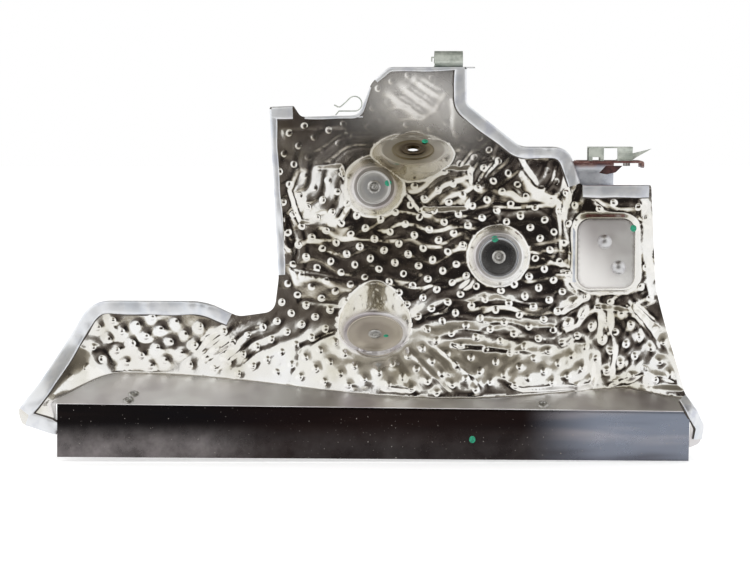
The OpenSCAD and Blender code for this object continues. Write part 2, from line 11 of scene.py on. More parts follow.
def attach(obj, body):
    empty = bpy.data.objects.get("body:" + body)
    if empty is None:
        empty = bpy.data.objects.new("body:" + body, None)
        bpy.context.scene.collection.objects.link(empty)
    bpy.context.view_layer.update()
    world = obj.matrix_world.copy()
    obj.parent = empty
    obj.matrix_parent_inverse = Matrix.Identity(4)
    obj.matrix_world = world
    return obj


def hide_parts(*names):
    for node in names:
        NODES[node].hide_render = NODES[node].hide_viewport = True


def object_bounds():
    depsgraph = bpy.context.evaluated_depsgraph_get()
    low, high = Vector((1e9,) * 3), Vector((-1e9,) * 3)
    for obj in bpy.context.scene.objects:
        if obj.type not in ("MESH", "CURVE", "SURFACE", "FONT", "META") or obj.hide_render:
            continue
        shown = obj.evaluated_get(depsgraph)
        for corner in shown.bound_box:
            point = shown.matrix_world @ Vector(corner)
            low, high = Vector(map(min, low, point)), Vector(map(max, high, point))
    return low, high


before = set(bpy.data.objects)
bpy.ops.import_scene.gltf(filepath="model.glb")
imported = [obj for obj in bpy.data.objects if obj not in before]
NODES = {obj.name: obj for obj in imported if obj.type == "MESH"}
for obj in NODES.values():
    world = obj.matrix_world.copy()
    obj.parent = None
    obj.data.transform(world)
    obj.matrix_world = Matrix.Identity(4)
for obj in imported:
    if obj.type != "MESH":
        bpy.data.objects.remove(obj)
CAD_BOX = [list(corner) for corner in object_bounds()]
MM = 0.001

# ---------------------------------------------------------------- sizes shared with the part, in mm
SHEET_T = 0.6
WALL_BACK = 14.0
PITCH = 17.4
ROW_GAP = 6.95
ROW_SLOPE = math.radians(10.2)
DIMPLE_ANCHOR = np.array((-186.0, -154.6))
DISC_T = 0.8
BOSS_LAND = 2.2
LEDGE_TILT = 65.0
SKIRT_X, SKIRT_Z, SKIRT_SLOPE, SKIRT_L = -247.9, -175.9, math.radians(0.73), 440.5
SKIRT_H_LEFT, SKIRT_H_RIGHT, SKIRT_T, SKIRT_LEG, SKIRT_FORWARD = 37.3, 34.5, 1.0, 17.0, 24.0
FLAP_SLOPE = 0.35
FLAP_X = SKIRT_X - 1
EAR_X = SKIRT_X + SKIRT_L * math.cos(SKIRT_SLOPE) + 1
PAD = (137.1, -73.7, 20.5, 25.0, 9.0)
PAD_FORWARD = -11.0

# Each boss: middle x, middle z, forward, tilt up, flat radius, slope of its wall above and at its sides, rolled
# shoulder
BOSSES = {
    "a": (-27.3, -26.1, -5.0, 0.0, 11.9 + BOSS_LAND, 2.1, 2.1, 2.4),
    "b": (60.8, -75.4, -6.0, 0.0, 14.3 + BOSS_LAND, 2.6, 2.6, 1.6),
    "c": (-26.6, -128.0, 8.0, -44.0, 19.6 + BOSS_LAND, 2.2, 8.0, 1.4),
    "d": (0.0, 0.0, 0.0, 65.0, 14.9 + 3 * BOSS_LAND, 2.9, 2.9, 1.0),
}
DISC_R = {"a": 11.9, "b": 14.3, "c": 19.6, "d": 14.9}

# The pressed folds of the part: start, end, height and half width
FOLDS = [
    ((1, 50), (20, 38), 1.3, 3.2), ((-7, 45), (16, 29), 1.3, 3.2), ((-16, 40), (9, 23), 1.3, 3.2),
    ((80, -17), (103, -38), 1.2, 6), ((93, -16), (107, -35), 1, 6), ((54, -39), (103, -39), -1.2, 6),
    ((-4, -121), (26, -108), 1.4, 6), ((26, -108), (103, -110), 1.4, 6), ((103, -110), (124, -100), 1.4, 6),
    ((2, -134), (40, -126), 1, 6), ((40, -126), (100, -126), 1, 6), ((100, -126), (131, -108), 1, 6),
    ((-127, -131), (-146, -143), 1.2, 6), ((-116, -136), (-139, -152), 1.2, 6),
    ((-80, -30), (-40, -62), 0.7, 7), ((10, -40), (45, -62), 0.8, 7), ((150, -105), (172, -150), 0.8, 7),
]
# Finer creases that the solids leave out, as the photograph shows them: height, half width and path
CREASES = [
    (0.16, 1, [(-73, -63), (-27, -63), (2, -63), (36, -72)]),
    (0.22, 1, [(-85, -82), (-58, -88), (-27, -95), (-4, -96), (24, -97)]),
    (0.2, 0.9, [(-78, -68), (-54, -72), (-31, -66), (-28, -63)]),
    (1.3, 2.6, [(-41, -50), (-54, -59)]),
    (1.2, 2.4, [(-48, -43), (-61, -53)]),
    (1.3, 3, [(-80, -29), (-72, -43)]),
    (0.22, 1, [(-15, -49), (1, -54), (22, -56), (37, -46)]),
    (1.2, 2.2, [(-1, -34), (14, -49)]),
    (0.8, 1.6, [(-92, -42), (-91, -67), (-82, -75)]),
    (0.3, 1, [(-5, -122), (5, -117), (21, -114), (30, -108), (47, -107), (73, -108), (86, -109), (98, -108)]),
    (0.28, 1, [(25, -117), (32, -120), (47, -120), (64, -122), (82, -125), (100, -125), (109, -120), (120, -112)]),
    (0.28, 1, [(9, -127), (28, -127), (42, -128), (64, -132), (82, -134), (98, -135), (109, -128), (121, -122)]),
    (0.3, 1.6, [(24, -135), (46, -138), (68, -141), (91, -143), (105, -139), (118, -131)]),
    (1.5, 2.4, [(30, -103), (46, -88)]),
    (1.6, 2.6, [(100, -119), (122, -102)]),
    (1.4, 2.4, [(104, -130), (118, -117)]),
    (0.2, 1, [(-9, -96), (9, -97), (25, -97)]),
    (0.6, 1.3, [(-6, -139), (5, -149), (17, -161), (28, -172)]),
    (0.7, 1.4, [(2, -138), (12, -144), (21, -152), (30, -163)]),
    (0.8, 1.6, [(17, -138), (30, -149), (42, -158), (50, -168)]),
    (1.7, 2.6, [(72, -10), (93, -34)]),
    (1.5, 2.6, [(66, -24), (82, -38)]),
    (-0.8, 1.6, [(60, -5), (47, -26)]),
    (1.2, 2.4, [(60, -12), (53, -22)]),
    (0.35, 1.1, [(58, -40), (103, -39)]),
    (0.35, 1.2, [(77, -77), (90, -75), (108, -80)]),
    (0.3, 1, [(82, -72), (103, -75)]),
    (0.7, 1.4, [(98, -87), (115, -86)]),
    (1.2, 2.6, [(111, -54), (113, -71), (110, -90)]),
    (0.9, 1.8, [(104, -36), (108, -51)]),
    (1.3, 2.2, [(121, -102), (105, -117)]),
    (-1.2, 2, [(154, -105), (176, -127)]),
    (1.2, 2.2, [(150, -106), (182, -145)]),
    (0.8, 1.6, [(165, -94), (170, -107)]),
    (-0.6, 1.2, [(171, -68), (172, -92), (166, -100)]),
    (0.8, 1.8, [(172, -68), (176, -95), (179, -105)]),
    (-0.9, 1.8, [(125, -34), (140, -46)]),
    (-0.6, 1.3, [(148, -45), (170, -54)]),
    (0.9, 2, [(133, -35), (145, -40), (161, -40)]),
    (1.2, 2, [(126, -107), (114, -128)]),
    (1, 2, [(136, -107), (142, -139), (140, -164)]),
    (1, 2, [(134, -168), (162, -157), (188, -164)]),
    (-1.2, 1.7, [(-139, -127), (-155, -142)]),
    (0.9, 1.5, [(-135, -128), (-153, -146)]),
    (-0.8, 1.4, [(-132, -130), (-152, -150)]),
    (1.1, 1.6, [(-128, -133), (-147, -150)]),
    (-1.2, 1.8, [(-126, -137), (-144, -151)]),
    (0.8, 1.6, [(-120, -138), (-141, -158)]),
    (-0.9, 1.4, [(-239, -139), (-227, -143)]),
    (0.6, 1.5, [(-215, -121), (-204, -137)]),
]
# Panels between the creases, each leaning a little its own way: rise to the right, rise upwards and corners
PANELS = [
    (0.1, 0.03, [(-80, -14), (-51, -12), (-43, -36), (-54, -54), (-80, -51), (-87, -29)]),
    (0.02, 0.15, [(-2, -14), (40, -13), (42, -29), (38, -41), (5, -43), (-6, -29)]),
    (-0.02, 0.03, [(28, 35), (62, 7), (56, -7), (35, 0), (28, 15)]),
    (0, 0.04, [(-251, -171), (-226, -139), (-194, -139), (-140, -142), (-158, -158), (-223, -164)]),
    (0, 0.03, [(-92, 14), (-48, 15), (-43, 0), (-48, -11), (-80, -13), (-92, -7)]),
    (0, -0.02, [(-87, -64), (-27, -64), (36, -72), (49, -80), (25, -97), (-27, -94), (-58, -87), (-87, -82)]),
    (0, -0.05, [(-85, -51), (-58, -61), (-78, -67), (-88, -63)]),
    (0, 0.08, [(-86, -85), (-58, -90), (-29, -96), (-48, -104), (-52, -111), (-80, -108)]),
    (0.01, -0.03, [(-26, -57), (36, -63), (38, -70), (2, -62), (-23, -62)]),
    (0.01, -0.03, [(82, -71), (116, -81), (117, -87), (96, -107), (49, -106), (48, -97), (76, -89)]),
    (0.01, -0.03, [(58, -41), (103, -41), (105, -64), (83, -68), (66, -59)]),
    (0, 0.04, [(8, -117), (30, -110), (73, -109), (98, -110), (100, -124), (82, -124), (64, -121), (25, -116)]),
    (0, -0.04, [(10, -120), (32, -122), (64, -125), (100, -127), (105, -131), (82, -132), (64, -130), (27, -126)]),
    (0, 0.05, [(12, -129), (42, -130), (64, -134), (98, -136), (91, -142), (68, -140), (24, -135)]),
    (0.02, -0.09, [(28, -139), (68, -142), (91, -145), (117, -134), (129, -142), (127, -166), (77, -168),
                   (42, -154)]),
    (0, -0.04, [(28, 0), (62, -7), (48, -29), (26, -18)]),
    (0.05, -0.04, [(76, -5), (104, -7), (111, -36), (96, -37)]),
    (-0.16, 0.02, [(104, -36), (118, -39), (116, -100), (107, -95)]),
    (-0.16, 0, [(161, -36), (169, -36), (179, -100), (169, -104), (161, -71)]),
    (-0.03, 0.05, [(133, -111), (162, -115), (185, -150), (189, -167), (134, -167)]),
    (0, 0.03, [(2, -142), (20, -147), (38, -167), (6, -170), (-9, -153)]),
    (0.02, -0.03, [(-80, -139), (-52, -128), (-48, -150), (-9, -151), (-2, -168), (-87, -164)]),
]
OUTLINE = [
    (FLAP_X, -198.5, 1), (-273, -190.5, 5), (-276, -181, 5), (-262, -163.5, 30),
    (-228, -107, 24), (-147, -107.5, 50), (-124, -118.5, 16), (-98, -115, 10), (-95, -91, 24),
    (-101, 30, 1.5), (-84, 30.7, 1.5), (-79, 23, 5), (-38, 24, 8), (-29, 47, 14), (-17, 58, 9),
    (38, 58, 1.5), (38, 32, 8), (76, 2, 14), (110, 2, 16), (119, -25, 2), (169, -25, 2),
    (173, -99, 50), (191, -170, 20), (204, -192.5, 10), (202.5, -206, 5), (EAR_X, -208, 1),
    (EAR_X, SKIRT_Z + 0.6 - (EAR_X - SKIRT_X) * math.tan(SKIRT_SLOPE), 0.5), (FLAP_X, SKIRT_Z + 0.6, 0.5),
]
# Which corners each hem runs between, and how wide it is there
HEMS = [(0, 1, 9.5), (2, 6, 9.5), (9, 10, 8.5), (15, 19, 8.5), (19, 20, 8.5), (22, 24, 6.5)]


# ---------------------------------------------------------------- the sheet's height, as arrays of x and z
def ease(start, end, v):
    """A smooth rise from 0 at start to 1 at end."""
    t = np.clip((v - start) / (end - start), 0, 1)
    return t * t * (3 - 2 * t)


def mound(x, z, cx, cz, rx, rz):
    """A soft hill of height 1 about (cx, cz), with its half widths along x and z."""
    return np.exp(-(((x - cx) / rx) ** 2) - ((z - cz) / rz) ** 2)


def from_boss(x, z, boss):
    """How far a place is from a boss's middle, measured on the boss's own tilted face."""
    squeeze = math.cos(math.radians(boss[3]))
    return np.hypot(x - boss[0], (z - boss[1]) / squeeze)


def to_segment(x, z, a, b):
    """How far a place is from the straight line between a and b."""
    ax, az = a
    dx, dz = b[0] - ax, b[1] - az
    t = np.clip(((x - ax) * dx + (z - az) * dz) / (dx * dx + dz * dz), 0, 1)
    return np.hypot(x - ax - t * dx, z - az - t * dz)


def fold_height(x, z, folds):
    """The pressed folds: soft straight ridges that sink towards their ends."""
    total = np.zeros_like(x)
    for a, b, height, half_width in folds:
        run = ((x - a[0]) * (b[0] - a[0]) + (z - a[1]) * (b[1] - a[1])) / ((b[0] - a[0]) ** 2 + (b[1] - a[1]) ** 2)
        taper = 0.2 + 0.8 * ease(-0.1, 0.3, run) * ease(1.1, 0.7, run)
        total += height * taper * np.exp(-((to_segment(x, z, a, b) / half_width) ** 2))
    return total


def within(x, z, path, reach):
    """Which places lie in the box round a path, made larger by reach."""
    xs, zs = [p[0] for p in path], [p[1] for p in path]
    return (x > min(xs) - reach) & (x < max(xs) + reach) & (z > min(zs) - reach) & (z < max(zs) + reach)


def crease_height(x, z):
    """Each crease is a narrow ridge or groove that wanders a little and sinks towards its ends."""
    total = np.zeros_like(x)
    for height, half_width, path in CREASES:
        near = within(x, z, path, 3 * half_width + 1)
        if not near.any():
            continue
        u = x[near] + 0.8 * np.sin(z[near] / 5.3 + x[near] / 11)
        v = z[near] + 0.8 * np.sin(x[near] / 6.1 + z[near] / 9)
        closest = np.full_like(u, 1e9)
        for a, b in zip(path[:-1], path[1:]):
            closest = np.minimum(closest, to_segment(u, v, a, b))
        ends = np.minimum(np.hypot(u - path[0][0], v - path[0][1]), np.hypot(u - path[-1][0], v - path[-1][1]))
        fade = ease(-1, 3 * half_width + 4, ends)
        uneven = 0.75 + 0.25 * np.sin(u / 4.7 + v / 3.9 + 3 * height)
        total[near] += height * np.exp(-((closest / half_width) ** 2)) * fade * uneven
    return total


PANEL_EDGE = 2.2


def panel_lean(x, z):
    """Each panel leans about its own middle, and fades out softly across its edge."""
    total = np.zeros_like(x)
    for right, up, path in PANELS:
        near = within(x, z, path, PANEL_EDGE + 0.8)
        if not near.any():
            continue
        u, v = x[near], z[near]
        points = np.stack([u, v], axis=-1).reshape(-1, 2)
        corners = np.array(path, float)
        gap = outline_distance(points, corners) * np.where(in_outline(points, corners), 1, -1)
        middle = corners.mean(axis=0)
        tilt = right * (u - middle[0]) + up * (v - middle[1])
        total[near] += ease(-PANEL_EDGE, PANEL_EDGE, gap.reshape(u.shape)) * tilt
    return total


def above_skirt(x, z):
    """How far a place is above the line of the skirt's top edge."""
    return (x - SKIRT_X) * math.sin(SKIRT_SLOPE) + (z - SKIRT_Z) * math.cos(SKIRT_SLOPE)


def soft_max(a, b, k):
    """The greater of two heights, blended over k mm where they meet."""
    h = np.clip(0.5 + 0.5 * (a - b) / k, 0, 1)
    return b + (a - b) * h + k * h * (1 - h)


# How high the crumpled packets and the broad waves between them stand
PACKET_SHARE, BROAD_WAVE = 0.34, 0.15
# Low waves that bend the reflections, as thin foil has once it is pressed. Each packet: middle x, middle z, half
# width along x and along z, direction of its crests in degrees, wavelength, height and how far its crests wander
PACKETS = [
    (-60, -70, 50, 26, 4, 13, 0.34, 5),
    (15, -72, 40, 24, -3, 11, 0.30, 5),
    (75, -40, 40, 16, -2, 12, 0.42, 4),
    (95, -85, 34, 22, 5, 10, 0.42, 4),
    (20, -100, 60, 14, 6, 12, 0.45, 5),
    (75, -118, 60, 18, 4, 11, 0.50, 4),
    (60, -148, 70, 18, -6, 13, 0.45, 6),
    (-70, -140, 45, 22, 20, 15, 0.40, 6),
    (-118, -136, 22, 22, 38, 8, 0.55, 3),
    (140, -140, 34, 36, 62, 11, 0.60, 5),
    (150, -100, 26, 16, 40, 9, 0.55, 4),
    (-70, -30, 24, 26, 55, 12, 0.55, 5),
    (-84, -60, 10, 30, 84, 9, 0.50, 3),
    (-45, 0, 24, 16, 30, 10, 0.55, 4),
    (25, -20, 30, 20, 28, 9, 0.70, 4),
    (60, -12, 30, 16, 48, 10, 0.55, 4),
    (5, 34, 26, 18, 40, 11, 0.55, 4),
    (110, -20, 24, 14, 50, 9, 0.60, 3),
    (-10, -50, 26, 12, 20, 9, 0.50, 4),
    (40, -52, 26, 12, 8, 8, 0.45, 4),
    (-190, -150, 50, 24, 8, 19, 0.22, 6),
    (-170, -122, 44, 12, 30, 14, 0.25, 5),
    (112, -60, 14, 40, 80, 10, 0.50, 4),
    (164, -60, 10, 40, 85, 12, 0.40, 4),
    (30, -165, 90, 14, 0, 14, 0.35, 6),
    (150, -165, 40, 14, 20, 12, 0.45, 5),
]


def crumple(x, z):
    """The packets of low waves, and the broad waves between them."""
    total = np.zeros_like(x)
    for k, (cx, cz, rx, rz, crest, length, height, wander) in enumerate(PACKETS):
        turn = math.radians(crest)
        across = -(x - cx) * math.sin(turn) + (z - cz) * math.cos(turn)
        along = (x - cx) * math.cos(turn) + (z - cz) * math.sin(turn)
        drift = wander * (np.sin(along / 15 + 2.4 * k) + 0.6 * np.sin(along / 6.1 + 1.3 * k))
        packet = np.exp(-((np.abs(x - cx) / rx) ** 3) - (np.abs(z - cz) / rz) ** 3)
        phase = 2 * math.pi * (across + drift) / length + k
        total += PACKET_SHARE * height * packet * (np.sin(phase) + 0.35 * np.sin(2 * phase + 0.6))
    return total + BROAD_WAVE * np.sin(x / 17 + 1.5 * np.sin(z / 21)) * np.sin(z / 14 + 1.3 * np.sin(x / 25))


def lean(x, z):
    """How the wing, the low middle, the right edge and the lobe lean, beyond the solids' flat wall: each turns what
    it mirrors towards the table or the room."""
    return (0.05 * (z + 135) * mound(x, z, -190, -135, 62, 34) - 0.05 * (x + 190) * mound(x, z, -190, -140, 50, 40)
            - 0.07 * (z + 150) * mound(x, z, -50, -152, 62, 24) - 0.12 * (x - 162) * mound(x, z, 166, -60, 14, 60)
            + (0.1 * (z - 34) + 0.05 * (x - 4)) * mound(x, z, 4, 34, 44, 36))


def wall(x, z):
    """The upright wall, which comes forward to the ledge, at the end of the wing and at the lower right ear."""
    return (-WALL_BACK + 27 * mound(x, z, 20, -178, 140, 42)
            + 34 * ease(-205, -256, x) * ease(-130, -178, z) + 17 * ease(140, 195, x) * ease(-110, -178, z)
            + fold_height(x, z, FOLDS))


def ledge(x, z):
    """The sloping ledge above the skirt, and the short flap below it."""
    up = above_skirt(x, z)
    lift = SHEET_T / math.cos(math.radians(LEDGE_TILT))
    slope = np.where(up > 0, math.tan(math.radians(LEDGE_TILT)), -FLAP_SLOPE)
    return SKIRT_FORWARD + lift - slope * up - np.maximum(0, np.maximum(FLAP_X - x, x - EAR_X))


def ledge_weight(x, z):
    """1 on the ledge and its flap, 0 on the wall."""
    return ease(3, -3, wall(x, z) - ledge(x, z))


BOSS_FILLET, PAD_SLOPE, PAD_FILLET = 4.2, 1.2, 2.0


def with_boss(f, x, z, boss):
    """The sheet with one boss pressed into it: a flat disc on a rolled shoulder and sloping walls."""
    bx, bz, hold, tilt, radius, above, beside, roll = boss
    squeeze = math.cos(math.radians(tilt))
    dx, dz = x - bx, z - bz
    rho = np.hypot(dx, dz / squeeze)
    share = np.where(rho > radius, radius / np.maximum(rho, 1e-6), 1)
    out = np.hypot(dx, dz) * (1 - share)
    held = hold - math.tan(math.radians(tilt)) * dz * share
    slope = beside + (above - beside) * np.maximum(0, dz) / np.maximum(np.hypot(dx, dz), 0.01)
    reach = slope * (np.sqrt(out * out + roll * roll) - roll)
    soft = np.minimum(BOSS_FILLET, 0.6 * reach) + 1e-6
    low = soft_max(f, held - reach, soft)
    return -soft_max(-low, -(held + reach), soft)


def to_pad(x, z):
    """How far a place is outside the pad's rounded rectangle, below 0 inside it."""
    qx = np.abs(x - PAD[0]) - PAD[2] + PAD[4]
    qz = np.abs(z - PAD[1]) - PAD[3] + PAD[4]
    return np.hypot(np.maximum(qx, 0), np.maximum(qz, 0)) + np.minimum(np.maximum(qx, qz), 0) - PAD[4]


def with_pad(f, x, z):
    """The sheet with the corner pad pressed into it."""
    out = np.maximum(0, to_pad(x, z))
    reach = PAD_SLOPE * (np.sqrt(out * out + 2.0) - math.sqrt(2.0))
    soft = np.minimum(PAD_FILLET, 0.6 * reach) + 1e-6
    low = soft_max(f, PAD_FORWARD - reach, soft)
    return -soft_max(-low, -(PAD_FORWARD + reach), soft)


def calm(x, z):
    """1 where the sheet is free to crumple, 0 on the bosses, the pad and the ledge."""
    free = ease(1, 7, to_pad(x, z)) * (1 - ledge_weight(x, z))
    for boss in BOSSES.values():
        free = free * ease(0, 7, from_boss(x, z, boss) - boss[4])
    return free


def forward(x, z):
    """How far the sheet's face stands towards -Y, without its dimples."""
    f = soft_max(wall(x, z), ledge(x, z), 1.2)
    f = f + calm(x, z) * (crumple(x, z) + lean(x, z) + panel_lean(x, z) + crease_height(x, z))
    for boss in BOSSES.values():
        f = with_boss(f, x, z, boss)
    return with_pad(f, x, z)


def normals(x, z, e):
    """The face's outward directions, from its slope over a stretch of 2 e."""
    nx = forward(x - e, z) - forward(x + e, z)
    nz = forward(x, z - e) - forward(x, z + e)
    n = np.stack([nx, np.full_like(x, -2 * e), nz], axis=-1)
    return n / np.linalg.norm(n, axis=-1, keepdims=True)


def on_sheet(x, z, lift):
    """Points that stand lift mm off the sheet's face."""
    return np.stack([x, -forward(x, z), z], axis=-1) + lift[..., None] * normals(x, z, 4.0)


# ---------------------------------------------------------------- the outline and the dimples
def corner_arc(a, b, c, radius, steps):
    """The rounded way past a corner b, between its neighbours a and c."""
    u, v = (a - b) / np.linalg.norm(a - b), (c - b) / np.linalg.norm(c - b)
    half = math.acos(max(-1, min(1, float(u @ v)))) / 2
    reach = min(radius / math.tan(half), 0.49 * min(np.linalg.norm(a - b), np.linalg.norm(c - b)))
    return [b + u * reach * (1 - t) ** 2 + v * reach * t * t for t in np.linspace(0, 1, steps + 1)]


def corner_points(i):
    """The points that round corner i of the outline."""
    n = len(OUTLINE)
    a, b, c = (np.array(OUTLINE[(i + k) % n][:2]) for k in (-1, 0, 1))
    return corner_arc(a, b, c, OUTLINE[i][2], 2 if OUTLINE[i][2] < 4 else 8)


def evenly(path, step, closed=False):
    """The path with points added so that none of its stretches is longer than step."""
    out = []
    ends = path + [path[0]] if closed else path
    for a, b in zip(ends[:-1], ends[1:]):
        count = max(1, math.ceil(np.linalg.norm(b - a) / step))
        out += [a + (b - a) * k / count for k in range(count)]
    return np.array(out if closed else out + [path[-1]])


def hem_path(first, last):
    """The outline's edge from one corner to another, in steps of 2.5 mm at most."""
    path = []
    for i in range(first, last + 1):
        arc = corner_points(i)
        path += [p for k, p in enumerate(arc) if (i > first or k == len(arc) - 1) and (i < last or k == 0)]
    return evenly(path, 2.5)


HEM_LINES = [hem_path(first, last) for first, last, _ in HEMS]


def near_hem(x, z):
    """How far a place is from the nearest hem's inner edge, below 0 under the hem."""
    closest = np.full_like(x, 1e9)
    for line, (_, _, width) in zip(HEM_LINES, HEMS):
        for a, b in zip(line[:-1:3], line[3::3]):
            closest = np.minimum(closest, to_segment(x, z, a, b) - width)
    return closest


DIMPLE_STRAY = 0.45


def dimple_centres():
    """The slanted lattice of dimples, without those on the bosses, the pad, the ledge and the hems."""
    row = np.array((math.cos(ROW_SLOPE), -math.sin(ROW_SLOPE)))
    up = np.array((math.sin(ROW_SLOPE), math.cos(ROW_SLOPE)))
    m, j = np.meshgrid(np.arange(-20, 45), np.arange(-12, 42))
    p = DIMPLE_ANCHOR + m[..., None] * PITCH * row + j[..., None] * (0.535 * PITCH * row + ROW_GAP * up)
    p = p.reshape(-1, 2)
    x, z = p[:, 0], p[:, 1]
    keep = (to_pad(x, z) > 5) & (wall(x, z) > ledge(x, z) + 6) & (near_hem(x, z) > 2.6)
    for boss in BOSSES.values():
        keep &= from_boss(x, z, boss) > boss[4] + 6 / math.cos(math.radians(boss[3]))
    p = p[keep]
    k = np.arange(len(p))
    return p + DIMPLE_STRAY * np.stack([np.sin(12.9 * k), np.sin(7.7 * k + 1)], axis=1)


# ---------------------------------------------------------------- making meshes
def new_piece(name, points, faces, materials, smooth_angle=50):
    """A mesh object from points in mm, smooth except where its faces meet at a sharp angle."""
    mesh = bpy.data.meshes.new(name)
    inside = np.clip(np.asarray(points, float) * MM, *(np.array(corner) for corner in CAD_BOX))
    mesh.from_pydata([tuple(p) for p in inside], [], [tuple(f) for f in faces])
    mesh.validate()
    mesh.shade_smooth()
    mesh.set_sharp_from_angle(angle=math.radians(smooth_angle))
    for material in materials:
        mesh.materials.append(material)
    piece = bpy.data.objects.new(name, mesh)
    bpy.context.scene.collection.objects.link(piece)
    return piece


def joined(name, parts, materials, smooth_angle):
    """One piece from several (points, faces) shells."""
    points, faces = [], []
    for part_points, part_faces in parts:
        faces += [[i + len(points) for i in f] for f in part_faces]
        points += [tuple(p) for p in part_points]
    return new_piece(name, points, faces, materials, smooth_angle)


def loft(rings):
    """Points and faces of a closed skin through rings of the same number of points."""
    count, size = len(rings), len(rings[0])
    points = np.concatenate(rings)
    faces = [(i * size + k, i * size + (k + 1) % size, (i + 1) * size + (k + 1) % size, (i + 1) * size + k)
             for i in range(count - 1) for k in range(size)]
    return points, faces + [list(range(size))[::-1], list(range((count - 1) * size, count * size))]


def placed(shell, matrix):
    """The shell moved to its place."""
    points, faces = shell
    return [tuple(matrix @ Vector(p)) for p in points], faces


def turned(profile, segments):
    """A shell turned about +Z from a closed profile of (radius, height) pairs; its first and last may lie on the
    axis."""
    points, faces, rows = [], [], []
    for r, h in profile:
        if r < 1e-6:
            rows.append([len(points)] * segments)
            points.append((0, 0, h))
        else:
            rows.append(list(range(len(points), len(points) + segments)))
            points += [(r * math.cos(a), r * math.sin(a), h) for a in np.arange(segments) * 2 * math.pi / segments]
    closed = profile[0][0] > 1e-6
    for low, high in zip(rows, rows[1:] + ([rows[0]] if closed else [])):
        for k in range(segments):
            quad = [low[k], low[(k + 1) % segments], high[(k + 1) % segments], high[k]]
            faces.append(list(dict.fromkeys(quad)))
    return points, faces


def ribbon(path, across, width, thickness, rounding):
    """A strip of sheet metal that follows a path, with rounded edges. across is the direction of its width."""
    path, across = np.asarray(path, float), np.asarray(across, float)
    w, t, r = width / 2, thickness / 2, min(rounding, thickness / 2.1)
    rings = []
    for i, p in enumerate(path):
        along = path[min(i + 1, len(path) - 1)] - path[max(i - 1, 0)]
        along /= np.linalg.norm(along)
        up = np.cross(across, along)
        section = [(w - r, t), (w - 0.3 * r, t - 0.3 * r), (w, t - r), (w, -t + r), (w - 0.3 * r, -t + 0.3 * r),
                   (w - r, -t)]
        section += [(-a, -b) for a, b in section]
        rings.append(np.array([p + a * across + b * up for a, b in section]))
    return loft(rings)


def rounded_path(corners, radii, steps):
    """A 3-D polyline with its inner corners rounded."""
    corners = [np.array(c, float) for c in corners]
    out = [corners[0]]
    for a, b, c, r in zip(corners[:-2], corners[1:-1], corners[2:], radii):
        out += corner_arc(a, b, c, r, steps)
    return np.array(out + [corners[-1]])


def outward(points, faces):
    """The same shell with its faces turned to point outwards."""
    p = np.asarray(points, float)
    volume = sum(float(np.dot(p[f[0]], np.cross(p[f[k]], p[f[k + 1]]))) for f in faces for k in range(1, len(f) - 1))
    return points, faces if volume > 0 else [list(f)[::-1] for f in faces]


# ---------------------------------------------------------------- the pressed sheet
def in_outline(points, ring):
    """Which points lie inside a closed ring."""
    x, z = points[:, 0], points[:, 1]
    inside = np.zeros(len(points), bool)
    for (ax, az), (bx, bz) in zip(ring, np.roll(ring, -1, axis=0)):
        crosses = (az > z) != (bz > z)
        with np.errstate(divide="ignore", invalid="ignore"):
            inside ^= crosses & (x < (bx - ax) * (z - az) / (bz - az) + ax)
    return inside


def outline_distance(points, ring):
    """How far each point is from a closed ring."""
    closest = np.full(len(points), 1e9)
    for a, b in zip(ring, np.roll(ring, -1, axis=0)):
        closest = np.minimum(closest, to_segment(points[:, 0], points[:, 1], a, b))
    return closest


def triangle_grid(step):
    """An even grid of points, set as the corners of equal triangles."""
    m, j = np.meshgrid(np.arange(-282, 212, step), np.arange(-222, 66, step * 0.866))
    m = m + step / 2 * (np.arange(m.shape[0])[:, None] % 2)
    return np.stack([m.ravel(), j.ravel()], axis=1)


def bend_at(points):
    """How sharply the face bends at each point."""
    e = 1.2
    x, z = points[:, 0], points[:, 1]
    return np.abs(forward(x + e, z) + forward(x - e, z) + forward(x, z + e) + forward(x, z - e)
                  - 4 * forward(x, z)) / e**2


DIMPLE_R, DIMPLE_H = 2.9, 1.15
EYELET_R = 5.5
# Where the pressing flattened the dimples: middle, half widths and how much is left of them
SMOOTHED = [(0, 30, 58, 36, 0.06), (40, 8, 28, 28, 0.2), (92, -16, 28, 22, 0.15), (-66, -2, 36, 22, 0.12),
            (-36, 2, 20, 18, 0.15), (-60, -92, 44, 14, 0.35)]


def dimple_lift(x, z, centres):
    """The height of the dimples: each a slightly uneven pip on a soft swell, which is wider on the low, smooth
    ground."""
    lift = np.zeros_like(x)
    soft = np.clip(mound(x, z, -190, -135, 70, 36) + mound(x, z, 20, -158, 180, 22)
                   + mound(x, z, 150, -130, 40, 40), 0, 1)
    order = np.argsort(centres[:, 0])
    sorted_x = centres[order, 0]
    for shift in range(-28, 29):
        near = np.clip(np.searchsorted(sorted_x, x) + shift, 0, len(order) - 1)
        c = centres[order[near]]
        turn, own = np.arctan2(z - c[:, 1], x - c[:, 0]), 1.7 * c[:, 0] + 2.3 * c[:, 1]
        q = np.hypot(x - c[:, 0], z - c[:, 1]) / (
            DIMPLE_R * (0.97 + 0.08 * np.sin(turn + own) + 0.06 * np.sin(2 * turn + 1.3 * own)))
        lift = np.maximum(lift, DIMPLE_H * (0.85 + 0.25 * np.sin(5.1 * own)) * (
            (0.66 - 0.3 * soft) * (1 - ease(0.42, 0.96, q)) + 0.08 * np.exp(-(q / 0.4) ** 2)
            + (0.14 + 0.55 * soft) * np.exp(-(q / 1.3) ** 2)))
    for cx, cz, rx, rz, left in SMOOTHED:
        lift = lift * (1 - (1 - left) * mound(x, z, cx, cz, rx, rz))
    return lift


